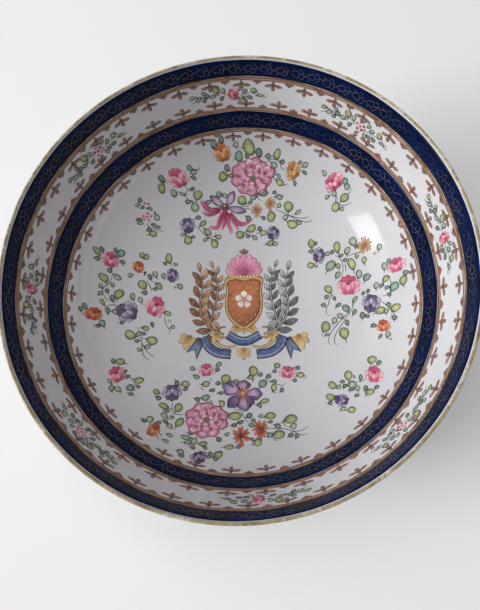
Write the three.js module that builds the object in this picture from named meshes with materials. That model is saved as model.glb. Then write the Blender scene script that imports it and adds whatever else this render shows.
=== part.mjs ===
// A footed porcelain serving bowl with enamelled and gilded bands.
// Millimetres, +Z up. The origin is the centre of the foot, on the surface the bowl stands on.
// The thrown bowl and its luted foot ring carry thin fired-on layers: two cobalt-blue bands and
// gilt and russet lines inside, a blue band and gilt lines outside, and a gilt edge on the lip.
import * as THREE from "three";

// ---- Driving dimensions -------------------------------------------------------------------
const RIM_RADIUS = 144; // outermost radius, at the gilt lip
const HEIGHT = 115; // table to the top of the gilt lip
const LIP_THICKNESS = 2.0; // the wall's thickness at the lip, which is a half round
const LIP_SLOPE = 74; // degrees from level at which the inner wall meets the lip

const WELL_HEIGHT = 18.5; // table to the middle of the inside
const WELL_REACH = 100; // how far the level start of the inner curve pulls outwards
const WALL_REACH = 82; // how far the steep end of the inner curve pulls downwards

const WALL_THICKNESS_AT_FOOT = 6.5;
const FLOOR_THICKNESS = 6.5; // under the middle of the well

const FOOT_OUTER_RADIUS = 70; // at the table
const FOOT_WALL = 6; // foot ring's thickness where it meets the bowl
const FOOT_FLARE = 2.5; // how much narrower the ring's outside is at its top
const FOOT_TAPER = 1.5; // how much thinner the ring is at the table
const FOOT_ROUND = 0.8; // softened edges of the standing face

const ENAMEL = 0.25; // thickness of the fired enamel bands
const GILDING = 0.15; // thickness of the gilt lines

// Bands inside and outside, by their distance down the wall from the lip.
const UPPER_BAND = { top: 0.9, bottom: 13.0 };
const LOWER_BAND = { top: 40.4, bottom: 53.9 };
const OUTER_BAND = { top: 6.0, bottom: 17.0 };
const GILT_LINE_WIDTH = 1.6; // measured down the wall
const RUSSET_LINE_WIDTH = 1.2;
const LINE_GAP = 0.2; // bare glaze between one line and the next
const FOOT_LINE = { top: 4.2, bottom: 2.6 }; // heights above the table

const LIP_GILT_FROM = 70; // degrees round the lip, from its inner side
const LIP_GILT_TO = 175;

// ---- Facets -------------------------------------------------------------------------------
const SEGMENTS = 64; // round the bowl
const BAND_ROWS = 3; // rows of facets down a band
const WALL_STEPS = 12; // rows of facets down a wall
const LIP_STEPS = 6; // facets round the lip

const degrees = (angle) => (angle * Math.PI) / 180;
const mix = (a, b, t) => a + (b - a) * t;

// ---- Profiles, as [radius, height] --------------------------------------------------------
const LIP_ROUND = LIP_THICKNESS / 2;
const lipSlope = degrees(LIP_SLOPE);
const upTheWall = new THREE.Vector2(Math.cos(lipSlope), Math.sin(lipSlope));
const acrossTheWall = new THREE.Vector2(upTheWall.y, -upTheWall.x);
const lipCentre = new THREE.Vector2(
  RIM_RADIUS - GILDING - LIP_ROUND,
  HEIGHT - GILDING - LIP_ROUND,
);

// Round the lip, from its inner side at 0 degrees over the top to its outer side at 180.
function lipPoint(angle, proud = 0) {
  const radius = LIP_ROUND + proud;
  return lipCentre
    .clone()
    .addScaledVector(acrossTheWall, -radius * Math.cos(degrees(angle)))
    .addScaledVector(upTheWall, radius * Math.sin(degrees(angle)));
}

const innerEdge = lipPoint(0);

// The inner face is one curve from the middle of the well to the lip.
const innerCurve = new THREE.CubicBezierCurve(
  new THREE.Vector2(0, WELL_HEIGHT),
  new THREE.Vector2(WELL_REACH, WELL_HEIGHT),
  innerEdge.clone().addScaledVector(upTheWall, -WALL_REACH),
  innerEdge,
);

const wallLength = innerCurve.getLength();

// A place is a share of the inner curve's length, from the middle of the well to the lip.
const placeDown = (distance) => 1 - distance / wallLength;
const innerPoint = (place) => innerCurve.getPointAt(place);

// The direction from the inner face into the clay.
function intoClay(place) {
  const along = innerCurve.getTangentAt(place);
  return new THREE.Vector2(along.y, -along.x);
}

// A point of the outer face stands off the inner curve by the wall's thickness there.
function outerPoint(place) {
  const wall = mix(WALL_THICKNESS_AT_FOOT, LIP_THICKNESS, place * place);
  return innerPoint(place).addScaledVector(intoClay(place), wall);
}

// The place where the outer face crosses a radius, found by halving.
function outerPlaceAtRadius(radius) {
  let low = 0;
  let high = 1;
  for (let i = 0; i < 40; i += 1) {
    const middle = (low + high) / 2;
    if (outerPoint(middle).x < radius) low = middle;
    else high = middle;
  }
  return (low + high) / 2;
}

// Places between two others, both ends included, evenly spread.
function spread(from, to, steps) {
  const places = [];
  for (let i = 0; i <= steps; i += 1) places.push(mix(from, to, i / steps));
  return places;
}

const bandPlaces = (band, rows = BAND_ROWS) =>
  spread(placeDown(band.bottom), placeDown(band.top), rows);
const linePlaces = (line) => bandPlaces(line, 1);

// A line beside a band or another line: under it, or over it.
function lineBelow(other, width) {
  const top = other.bottom + LINE_GAP;
  return { top, bottom: top + width };
}
function lineAbove(other, width) {
  const bottom = other.top - LINE_GAP;
  return { top: bottom - width, bottom };
}

// ---- Where every layer sits ---------------------------------------------------------------
const giltUnderUpper = lineBelow(UPPER_BAND, GILT_LINE_WIDTH);
const giltOverLower = lineAbove(LOWER_BAND, GILT_LINE_WIDTH);
const giltUnderLower = lineBelow(LOWER_BAND, GILT_LINE_WIDTH);
const inside = {
  outer_blue_band: bandPlaces(UPPER_BAND),
  upper_band_gilt_line: linePlaces(giltUnderUpper),
  upper_band_russet_line: linePlaces(lineBelow(giltUnderUpper, RUSSET_LINE_WIDTH)),
  lower_band_upper_russet_line: linePlaces(lineAbove(giltOverLower, RUSSET_LINE_WIDTH)),
  lower_band_upper_gilt_line: linePlaces(giltOverLower),
  inner_blue_band: bandPlaces(LOWER_BAND),
  lower_band_lower_gilt_line: linePlaces(giltUnderLower),
  lower_band_lower_russet_line: linePlaces(lineBelow(giltUnderLower, RUSSET_LINE_WIDTH)),
};
const outside = {
  exterior_upper_gilt_line: linePlaces(lineAbove(OUTER_BAND, GILT_LINE_WIDTH)),
  exterior_blue_band: bandPlaces(OUTER_BAND),
  exterior_lower_gilt_line: linePlaces(lineBelow(OUTER_BAND, GILT_LINE_WIDTH)),
};
const lipGilt = spread(LIP_GILT_FROM, LIP_GILT_TO, LIP_STEPS - 2);

// Every place that a layer needs, merged with an even spread that keeps clear of them.
function stations(layers, from, to) {
  const needed = Object.values(layers).flat();
  const clear = (to - from) / WALL_STEPS / 2.5;
  const even = spread(from, to, WALL_STEPS).filter(
    (place) => !needed.some((other) => Math.abs(other - place) < clear),
  );
  return [...new Set([from, ...needed, ...even, to])].sort((a, b) => a - b);
}

// ---- Solids of revolution -----------------------------------------------------------------
// Spins a closed outline about Z. An outline that touches the axis starts and ends on it.
function spin(outline) {
  const loop = outline.map((p) => new THREE.Vector2(Math.max(p.x, 0), p.y));
  const onAxis = loop[0].x === 0;
  if (THREE.ShapeUtils.area(loop) < 0) loop.reverse();
  if (!onAxis) loop.push(loop[0].clone());
  return new THREE.LatheGeometry(loop, SEGMENTS).rotateX(Math.PI / 2);
}

const material = (color, roughness, metalness) =>
  new THREE.MeshStandardMaterial({ color, roughness, metalness });

const porcelain = material(0xdcdce4, 0.12, 0);
const bareClay = material(0xc9c2b4, 0.8, 0);
const cobaltEnamel = material(0x0b1742, 0.15, 0);
const wornGold = material(0x9a6f35, 0.35, 0.8);
const russetEnamel = material(0x84523c, 0.3, 0);

// A layer's finish and thickness follow from what its name says it is.
const finishOf = (name) => {
  if (name.endsWith("blue_band")) return cobaltEnamel;
  return name.endsWith("gilt_line") ? wornGold : russetEnamel;
};
const thicknessOf = (name) => (name.endsWith("gilt_line") ? GILDING : ENAMEL);

const bowl = new THREE.Group();

function add(name, outline, finish) {
  const mesh = new THREE.Mesh(spin(outline), finish);
  mesh.name = name;
  bowl.add(mesh);
}

// The foot ring is turned on its own and luted to the bowl along one face of the bowl's underside.
const footTopOuter = FOOT_OUTER_RADIUS - FOOT_FLARE;
const footTopInner = footTopOuter - FOOT_WALL;
const jointOuterPlace = outerPlaceAtRadius(footTopOuter);
const jointInnerPlace = outerPlaceAtRadius(footTopInner);
const jointOuter = outerPoint(jointOuterPlace);
const jointInner = outerPoint(jointInnerPlace);

// The bowl: inside face, lip, outside face down to the foot, the joint, and the underside.
function bowlOutline() {
  const innerFace = stations(inside, 0, 1).map(innerPoint);
  const lipAngles = [...spread(0, LIP_GILT_FROM, 2).slice(1, -1), ...lipGilt];
  const lip = lipAngles.map((angle) => lipPoint(angle));
  const outerFace = stations(outside, jointOuterPlace, 1)
    .reverse()
    .map(outerPoint);
  outerFace[outerFace.length - 1] = jointOuter;
  const underside = spread(jointInnerPlace, 0, 3).map(outerPoint);
  underside[0] = jointInner;
  underside[underside.length - 1] = new THREE.Vector2(0, WELL_HEIGHT - FLOOR_THICKNESS);
  return [...innerFace, ...lip, ...outerFace, ...underside];
}

function footOutline() {
  const standInner = FOOT_OUTER_RADIUS - FOOT_WALL + FOOT_TAPER;
  return [
    jointOuter,
    jointInner,
    new THREE.Vector2(standInner, FOOT_ROUND),
    new THREE.Vector2(standInner + FOOT_ROUND, 0),
    new THREE.Vector2(FOOT_OUTER_RADIUS - FOOT_ROUND, 0),
    new THREE.Vector2(FOOT_OUTER_RADIUS, FOOT_ROUND),
    new THREE.Vector2(footOuterAt(FOOT_LINE.bottom), FOOT_LINE.bottom),
    new THREE.Vector2(footOuterAt(FOOT_LINE.top), FOOT_LINE.top),
  ];
}

// The foot's outer radius at a height, along its straight flare.
function footOuterAt(height) {
  const rise = (height - FOOT_ROUND) / (jointOuter.y - FOOT_ROUND);
  return mix(FOOT_OUTER_RADIUS, footTopOuter, rise);
}

// A layer shares the points of the face that it lies on, and stands proud of them.
function wallLayer(places, facePoint, proud) {
  const under = places.map(facePoint);
  const over = places.map((place) => facePoint(place).addScaledVector(intoClay(place), proud));
  return [...under, ...over.reverse()];
}

function lipLayer(angles, thickness) {
  const under = angles.map((angle) => lipPoint(angle));
  const over = angles.map((angle) => lipPoint(angle, thickness));
  return [...under, ...over.reverse()];
}

function footLayer(line, thickness) {
  const under = [line.bottom, line.top].map(
    (height) => new THREE.Vector2(footOuterAt(height), height),
  );
  const over = under.map((p) => new THREE.Vector2(p.x + thickness, p.y));
  return [...under, ...over.reverse()];
}

add("bowl_body", bowlOutline(), porcelain);
add("foot_ring", footOutline(), bareClay);
add("lip_gilding", lipLayer(lipGilt, GILDING), wornGold);
add("foot_gilt_line", footLayer(FOOT_LINE, GILDING), wornGold);
for (const [name, places] of Object.entries(inside)) {
  add(name, wallLayer(places, innerPoint, -thicknessOf(name)), finishOf(name));
}
for (const [name, places] of Object.entries(outside)) {
  add(name, wallLayer(places, outerPoint, thicknessOf(name)), finishOf(name));
}

export default bowl;
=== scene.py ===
import math
from functools import cache
from types import SimpleNamespace

import bpy
import numpy as np
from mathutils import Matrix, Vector


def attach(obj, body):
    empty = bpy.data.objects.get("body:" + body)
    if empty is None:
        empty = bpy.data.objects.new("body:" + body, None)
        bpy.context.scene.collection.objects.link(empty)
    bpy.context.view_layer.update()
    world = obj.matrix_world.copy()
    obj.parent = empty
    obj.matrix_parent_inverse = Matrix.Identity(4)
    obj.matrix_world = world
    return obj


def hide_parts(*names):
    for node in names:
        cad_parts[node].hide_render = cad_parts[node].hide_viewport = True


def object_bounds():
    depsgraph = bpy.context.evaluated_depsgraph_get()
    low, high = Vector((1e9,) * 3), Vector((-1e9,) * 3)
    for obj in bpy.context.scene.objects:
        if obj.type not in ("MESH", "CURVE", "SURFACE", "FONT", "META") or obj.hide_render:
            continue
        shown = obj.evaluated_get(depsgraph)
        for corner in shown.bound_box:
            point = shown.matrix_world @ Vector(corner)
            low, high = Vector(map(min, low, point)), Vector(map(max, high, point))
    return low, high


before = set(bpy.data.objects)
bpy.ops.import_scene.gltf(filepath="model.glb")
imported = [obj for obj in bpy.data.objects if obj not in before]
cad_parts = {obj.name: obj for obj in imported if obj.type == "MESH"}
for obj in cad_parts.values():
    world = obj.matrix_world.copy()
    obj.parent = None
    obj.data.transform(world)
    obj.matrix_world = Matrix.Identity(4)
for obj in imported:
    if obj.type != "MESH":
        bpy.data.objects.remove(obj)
CAD_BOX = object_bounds()

bl_info = {
    "name": "Painted Serving Bowl",
    "version": (1, 0, 0),
    "blender": (4, 5, 0),
    "location": "3D View > Sidebar > Bowl",
    "description": "Builds a footed porcelain bowl with enamel bands, gilding and painted flowers",
    "category": "Add Mesh",
}

MM = 0.001
ROOT = "root"
TINT = "Tint"  # the colour attribute that every painted mesh carries
SUNK = 0.3  # mm that paint reaches under the glaze, so that no gap shows beneath it
SEED = 11

# ---- Wall: the bowl's faces ------------------------------------------------------------------


def turned(points, angle):
    """Flat points turned about the origin by an angle in degrees."""
    c, s = math.cos(math.radians(angle)), math.sin(math.radians(angle))
    return np.asarray(points, float) @ np.array([[c, s], [-s, c]])


def polar(reach, angle):
    """A flat point at a distance from the origin, at an angle in degrees."""
    return turned([[reach, 0.0]], angle)[0]


class Wall:
    """The bowl's inner and outer faces in millimetres. Down is the distance down the wall from the lip."""

    def __init__(self, sizes):
        self.height = sizes.height / MM
        self.foot_wall, self.lip_wall = sizes.foot_wall / MM, sizes.lip_thickness / MM
        slope = sizes.lip_slope
        self.round = self.lip_wall / 2
        self.up_wall = np.array([math.cos(slope), math.sin(slope)])
        self.across_wall = np.array([self.up_wall[1], -self.up_wall[0]])
        gilt = sizes.gilding / MM
        self.lip_centre = np.array([sizes.rim_radius / MM, self.height]) - self.round - gilt
        edge = self.lip_centre - self.across_wall * self.round
        well = sizes.well_height / MM
        knots = np.array([
            [0, well],
            [sizes.well_reach / MM, well],
            edge - self.up_wall * sizes.wall_reach / MM,
            edge,
        ])
        t = np.linspace(0, 1, 3001)[:, None]
        weights = np.hstack([(1 - t) ** 3, 3 * (1 - t) ** 2 * t, 3 * (1 - t) * t**2, t**3])
        curve = weights @ knots
        step = np.hypot(*np.diff(curve, axis=0).T)
        self.reach = np.concatenate([[0], np.cumsum(step)])
        self.length = self.reach[-1]
        along = np.gradient(curve, axis=0)
        along /= np.hypot(*along.T)[:, None]
        self.inner = curve
        self.normal = np.stack([-along[:, 1], along[:, 0]], 1)
        share = self.reach / self.length
        wall = self.foot_wall + (self.lip_wall - self.foot_wall) * share**2
        self.outer = curve - self.normal * wall[:, None]

    def profile(self, down, outside=False):
        """(radius, height, normal's radius, normal's height) at distances down the wall."""
        reach = self.length - np.asarray(down, float)
        face = self.outer if outside else self.inner
        columns = np.hstack([face, -self.normal if outside else self.normal])
        return [np.interp(reach, self.reach, column) for column in columns.T]

    def at(self, azimuth, down, outside=False):
        """Points of a face and the directions that stand off it, at azimuths in radians."""
        r, z, nr, nz = self.profile(down, outside)
        c, s = np.cos(azimuth), np.sin(azimuth)
        return np.stack([r * c, r * s, z + 0 * c], -1), np.stack([nr * c, nr * s, nz + 0 * c], -1)

    def plan(self, points):
        """Places on the inner face under points given as seen from straight above."""
        points = np.asarray(points, float)
        reach = np.interp(np.hypot(*points.T), self.inner[:, 0], self.reach)
        return self.at(np.arctan2(points[:, 1], points[:, 0]), self.length - reach)

    def strip(self, azimuth, down, outside=False):
        """A sheet wrapped round a face: its first axis runs round the bowl, its second up the wall."""
        radius = float(self.profile(down, outside)[0])

        def place(points):
            a, b = np.asarray(points, float).T
            return self.at(azimuth + a / radius, down - b, outside)

        return place


# The painter's two slow swings down the wall: mm, and where in the turn each one starts.
ONCE_ROUND, ONCE_START = 0.75, 0.4
THRICE_ROUND, THRICE_START = 0.16, 1.0


def drift(azimuth):
    """How far down the wall the painter's lines wander, in mm, as the bowl turns on the wheel."""
    slow = ONCE_ROUND * np.cos(azimuth - ONCE_START) + THRICE_ROUND * np.sin(3 * azimuth + THRICE_START)
    return slow + 0.07 * np.sin(11 * azimuth + 0.5) + 0.05 * np.sin(23 * azimuth)


def mesh_object(name, points, faces, smooth=None, tints=None):
    """An object at the origin with its place in its mesh, from points in millimetres."""
    data = bpy.data.meshes.new(name)
    data.from_pydata((np.asarray(points) * MM).tolist(), [], faces)
    flags = np.ones(len(faces), bool) if smooth is None else np.asarray(smooth, bool)
    data.polygons.foreach_set("use_smooth", flags)
    if tints is not None:
        layer = data.color_attributes.new(TINT, "FLOAT_COLOR", "POINT")
        colours = np.hstack([np.asarray(tints), np.ones((len(tints), 1))])
        layer.data.foreach_set("color", colours.astype(np.float32).ravel())
    data.update()
    piece = bpy.data.objects.new(name, data)
    bpy.context.scene.collection.objects.link(piece)
    return piece


def fit(piece, finish, slot, *nodes):
    """Gives a finished piece its material, its body and the CAD nodes that it stands for. The slot is not used."""
    piece.data.materials.clear()
    piece.data.materials.append(finish)
    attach(piece, ROOT)
    if nodes:
        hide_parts(*nodes)
    return piece


def round_faces(segments, points, rows):
    """Quads between the profiles of a turned mesh; a profile has some points, joined along its rows."""
    i, j = np.meshgrid(np.arange(segments), np.arange(rows), indexing="ij")
    near, far, nxt = i * points, (i + 1) % segments * points, (j + 1) % points
    return np.stack([near + j, far + j, far + nxt, near + nxt], -1).reshape(-1, 4)


def spin(name, loop, segments, wander=None):
    """Turns a closed outline of (radius, height) about Z.

    An outline that starts and ends on the axis gets a pole at each end. wander gives what is added to
    the outline's points at each azimuth.
    """
    loop = np.asarray(loop, float)
    r, z = loop.T
    if (r * np.roll(z, -1) - np.roll(r, -1) * z).sum() < 0:
        loop = loop[::-1]
    poles = loop[0, 0] < 1e-6 and loop[-1, 0] < 1e-6
    body = loop[1:-1] if poles else loop
    azimuth = np.arange(segments) * 2 * math.pi / segments
    rows = np.repeat(body[None], segments, 0)
    if wander is not None:
        rows = rows + wander(azimuth, body)
    c, s = np.cos(azimuth)[:, None], np.sin(azimuth)[:, None]
    points = np.stack([rows[..., 0] * c, rows[..., 0] * s, rows[..., 1]], -1).reshape(-1, 3)
    n = len(body)
    faces = round_faces(segments, n, n - 1 if poles else n).tolist()
    if poles:
        first, last = len(points), len(points) + 1
        points = np.vstack([points, [[0, 0, loop[0, 1]], [0, 0, loop[-1, 1]]]])
        for k in range(segments):
            m = (k + 1) % segments
            faces.append([first, m * n, k * n])
            faces.append([last, k * n + n - 1, m * n + n - 1])
    return mesh_object(name, points, faces)


# ---- Paint: raised brushwork -----------------------------------------------------------------


def linear(colour):
    """A display colour as the linear light values that a shader takes."""
    c = np.asarray(colour, float)
    return np.where(c <= 0.04045, c / 12.92, ((c + 0.055) / 1.055) ** 2.4)


def smooth_path(knots, closed=False, steps=5):
    """A soft curve through a few points."""
    knots = np.asarray(knots, float)
    if len(knots) == 2:
        return knots[0] + np.linspace(0, 1, steps + 1)[:, None] * (knots[1] - knots[0])
    if closed:
        before = np.vstack([knots[-1:], knots, knots[:2]])
    else:
        before = np.vstack([2 * knots[0] - knots[1], knots, 2 * knots[-1] - knots[-2]])
    t = np.linspace(0, 1, steps, endpoint=False)[:, None]
    pieces = []
    for a, b, c, d in zip(before, before[1:], before[2:], before[3:]):
        pieces.append(0.5 * (2 * b + (c - a) * t + (2 * a - 5 * b + 4 * c - d) * t**2
                             + (3 * b - a - 3 * c + d) * t**3))
    if not closed:
        pieces.append(knots[-1:])
    return np.vstack(pieces)


def oval(length, width, egg=0.0, point=0.0, bend=0.0, wave=0.0, waves=3, steps=18):
    """A petal's or leaf's outline from its foot at the origin along its first axis."""
    t = np.arange(steps) * 2 * math.pi / steps
    along = (1 - np.cos(t)) / 2
    across = np.sin(t) * along**egg * (1 - point * along**3)
    across *= width / 2 / np.abs(across).max()
    swell = 1 + wave * np.cos(waves * (t - math.pi)) * along
    return np.stack([along * length * swell, across * swell + bend * length * along**2], 1)


def arc(radius, start, end, centre=(0, 0), steps=9):
    """Points round a part of a circle, from one angle in degrees to another."""
    angle = np.radians(np.linspace(start, end, steps))
    return np.stack([np.cos(angle), np.sin(angle)], 1) * radius + centre


class Paint:
    """Fired-on brushwork, gathered as one raised mesh of closed strokes with a colour at every point."""

    def __init__(self, seed):
        self.points, self.faces, self.flat, self.tints = [], [], [], []
        self.count = 0
        self.rng = np.random.default_rng(seed)

    def add(self, points, smooth, flat, tints):
        for faces, is_smooth in ((smooth, True), (flat, False)):
            for rows in faces:
                rows = (np.asarray(rows) + self.count).tolist()
                self.faces.extend(rows)
                self.flat.extend([is_smooth] * len(rows))
        self.points.append(points)
        self.tints.append(linear(np.clip(tints, 0, 1)))
        self.count += len(points)

    def patch(self, place, outline, inner, outer, heart=None, lift=0.1, rings=3, power=1.0,
              deep=None, side=0.0, depth=0.7):
        """A filled shape, coloured from its heart to its edge and deeper towards one side."""
        outline = np.asarray(outline, float)
        n = len(outline)
        heart = outline.mean(0) if heart is None else np.asarray(heart, float)
        edge, up = place(np.vstack([outline, heart]))
        area = np.cross(edge[:-1] - edge[-1], np.roll(edge[:-1], -1, 0) - edge[-1]).sum(0)
        if area @ up[-1] < 0:
            outline = outline[::-1]
        share = np.concatenate([[0], np.repeat(np.arange(1, rings + 1) / rings, n)])
        local = heart + (np.tile(outline, (rings + 1, 1))[n - 1:] - heart) * share[:, None]
        at, up = place(local)
        top = at + up * (lift * (1 - 0.45 * share**5))[:, None]
        under = [*range(len(at) - n, len(at)), 0]
        below = at[under] - up[under] * SUNK
        mix = (share**power)[:, None]
        tints = blend(inner, outer, mix)
        if deep is not None:
            toward = polar(1.0, side)
            reach = (local - outline.mean(0)) @ toward
            weight = np.clip(reach / (np.abs(reach).max() + 1e-9), 0, 1)[:, None] ** 1.3 * depth
            tints = blend(tints, deep, weight)
        tints = tints * (1 + self.rng.uniform(-0.06, 0.06))
        k, m = np.arange(n), (np.arange(n) + 1) % n
        fan = np.stack([0 * k, 1 + k, 1 + m], 1)
        quads = [np.stack([1 + r * n + k, 1 + (r + 1) * n + k, 1 + (r + 1) * n + m, 1 + r * n + m], 1)
                 for r in range(rings - 1)]
        rim, low, pit = 1 + (rings - 1) * n, 1 + rings * n, 1 + (rings + 1) * n
        skirt = np.stack([rim + k, low + k, low + m, rim + m], 1)
        floor = np.stack([0 * k + pit, low + m, low + k], 1)
        self.add(np.vstack([top, below]), [fan, *quads], [skirt, floor],
                 np.vstack([tints, tints[-n:], tints[:1]]))

    def stroke(self, place, path, width, tint, lift=0.16, ends=(0.25, 0.1), end_tint=None):
        """A brush line with a soft ridge; ends are the shares of its width at its start and end."""
        path = np.asarray(path, float)
        at, up = place(path)
        along = np.gradient(at, axis=0)
        along /= np.linalg.norm(along, axis=1)[:, None] + 1e-12
        side = np.cross(up, along)
        t = np.linspace(0, 1, len(path))
        swell = np.where(t < 0.4, 1 - (1 - ends[0]) * (1 - t / 0.4) ** 2,
                         1 - (1 - ends[1]) * ((t - 0.4) / 0.6) ** 2)
        half = side * (width / 2 * swell)[:, None]
        low = up * lift * 0.3
        ring = np.stack([at + half + low, at + up * lift, at - half + low,
                         at - half - up * SUNK, at + half - up * SUNK], 1)
        n = len(path)
        start = np.arange(n - 1)[:, None] * 5

        def quad(p, q):
            return np.hstack([start + p, start + q, start + 5 + q, start + 5 + p])

        caps = [[[0, 4, 3, 2, 1]], [[(n - 1) * 5 + c for c in range(5)]]]
        last = tint if end_tint is None else end_tint
        colour = blend(tint, last, t[:, None])
        colour = np.repeat(colour * (1 + self.rng.uniform(-0.08, 0.08)), 5, 0)
        self.add(ring.reshape(-1, 3), [quad(0, 1), quad(1, 2)],
                 [quad(2, 3), quad(3, 4), quad(4, 0), *caps], colour)

    def finish(self, name):
        return mesh_object(name, np.vstack(self.points), self.faces, self.flat, np.vstack(self.tints))


# ---- Finishes --------------------------------------------------------------------------------


def group(name, inputs, outputs):
    """A shader node group with its sockets, its input node and its output node."""
    tree = bpy.data.node_groups.new(name, "ShaderNodeTree")
    for kind, sockets in (("INPUT", inputs), ("OUTPUT", outputs)):
        for label, socket_type, value in sockets:
            socket = tree.interface.new_socket(label, in_out=kind, socket_type=socket_type)
            if value is not None:
                socket.default_value = value
    return tree, tree.nodes.new("NodeGroupInput"), tree.nodes.new("NodeGroupOutput")


def node(tree, kind, settings=(), **values):
    """A node with its settings and the values of its named inputs; a socket as a value is linked."""
    made = tree.nodes.new(kind)
    for key, value in dict(settings).items():
        setattr(made, key, value)
    for key, value in values.items():
        name = int(key[1:]) if key[0] == "i" and key[1:].isdigit() else key.replace("_", " ")
        if isinstance(value, bpy.types.NodeSocket):
            tree.links.new(value, made.inputs[name])
        else:
            made.inputs[name].default_value = value
    return made


def maths(tree, operation, first, second=None, clamp=False):
    values = {"i0": first} if second is None else {"i0": first, "i1": second}
    return node(tree, "ShaderNodeMath", {"operation": operation, "use_clamp": clamp}, **values).outputs[0]


def times(tree, first, second):
    return maths(tree, "MULTIPLY", first, second)


def plus(tree, first, second):
    return maths(tree, "ADD", first, second)


def object_place(tree):
    return tree.nodes.new("ShaderNodeTexCoord").outputs["Object"]


def noise(tree, scale, detail=3.0, roughness=0.5):
    return node(tree, "ShaderNodeTexNoise", Vector=object_place(tree), Scale=scale, Detail=detail,
                Roughness=roughness).outputs["Fac"]


def cells(tree, scale):
    """A scatter of cells: how far each point is from its cell's middle, and the cell's own colour."""
    made = node(tree, "ShaderNodeTexVoronoi", {"feature": "F1"}, Vector=object_place(tree), Scale=scale)
    chance = node(tree, "ShaderNodeSeparateColor", i0=made.outputs["Color"])
    return made.outputs["Distance"], chance.outputs


def ramp(tree, factor, low, high):
    """A soft step from 0 at low to 1 at high."""
    return node(tree, "ShaderNodeMapRange", {"interpolation_type": "SMOOTHSTEP"}, Value=factor,
                From_Min=low, From_Max=high).outputs["Result"]


def mix_colour(tree, factor, first, second):
    return node(tree, "ShaderNodeMix", {"data_type": "RGBA"}, i0=factor, i6=first, i7=second).outputs[2]


FLOAT, COLOUR = "NodeSocketFloat", "NodeSocketColor"


def kiln_clouds_group():
    """Soft patches of tone, as a glaze or enamel has where it lies thicker or fired hotter."""
    tree, source, out = group(
        "kiln_clouds",
        [("Colour", COLOUR, None), ("Thick Colour", COLOUR, None), ("Scale", FLOAT, 20.0),
         ("Amount", FLOAT, 0.5)],
        [("Colour", COLOUR, None), ("Cloud", FLOAT, None)],
    )
    cloud = ramp(tree, noise(tree, source.outputs["Scale"], 4.0, 0.55), 0.35, 0.7)
    fine = noise(tree, times(tree, source.outputs["Scale"], 9.0), 2.0)
    both = plus(tree, times(tree, cloud, 0.75), times(tree, fine, 0.25))
    factor = maths(tree, "MULTIPLY", both, source.outputs["Amount"], clamp=True)
    colour = mix_colour(tree, factor, source.outputs["Colour"], source.outputs["Thick Colour"])
    tree.links.new(colour, out.inputs["Colour"])
    tree.links.new(both, out.inputs["Cloud"])
    return tree


def glaze_skin_group():
    """The low ripple of a fired glaze with a few pinholes, as a height in metres."""
    tree, source, out = group(
        "glaze_skin",
        [("Ripple", FLOAT, 0.00002), ("Pinhole", FLOAT, 0.00003), ("Scale", FLOAT, 60.0)],
        [("Height", FLOAT, None), ("Pinholes", FLOAT, None)],
    )
    ripple = times(tree, noise(tree, source.outputs["Scale"], 2.0), source.outputs["Ripple"])
    distance, chance = cells(tree, 130.0)
    near = maths(tree, "LESS_THAN", distance, 0.05)
    rare = maths(tree, "GREATER_THAN", chance[0], 0.9)
    holes = times(tree, near, rare)
    depth = times(tree, holes, source.outputs["Pinhole"])
    tree.links.new(maths(tree, "SUBTRACT", ripple, depth), out.inputs["Height"])
    tree.links.new(holes, out.inputs["Pinholes"])
    return tree


def rubbed_group():
    """Where years of washing and stacking have rubbed a thin layer away."""
    tree, source, out = group(
        "rubbed", [("Scale", FLOAT, 300.0), ("Wear", FLOAT, 0.5)], [("Mask", FLOAT, None)]
    )
    broad = noise(tree, times(tree, source.outputs["Scale"], 0.12), 3.0)
    fine = noise(tree, source.outputs["Scale"], 4.0, 0.65)
    both = plus(tree, times(tree, broad, 0.55), times(tree, fine, 0.45))
    edge = maths(tree, "SUBTRACT", 0.75, times(tree, source.outputs["Wear"], 0.5))
    high = plus(tree, edge, 0.08)
    tree.links.new(ramp(tree, both, edge, high), out.inputs["Mask"])
    return tree


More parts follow.
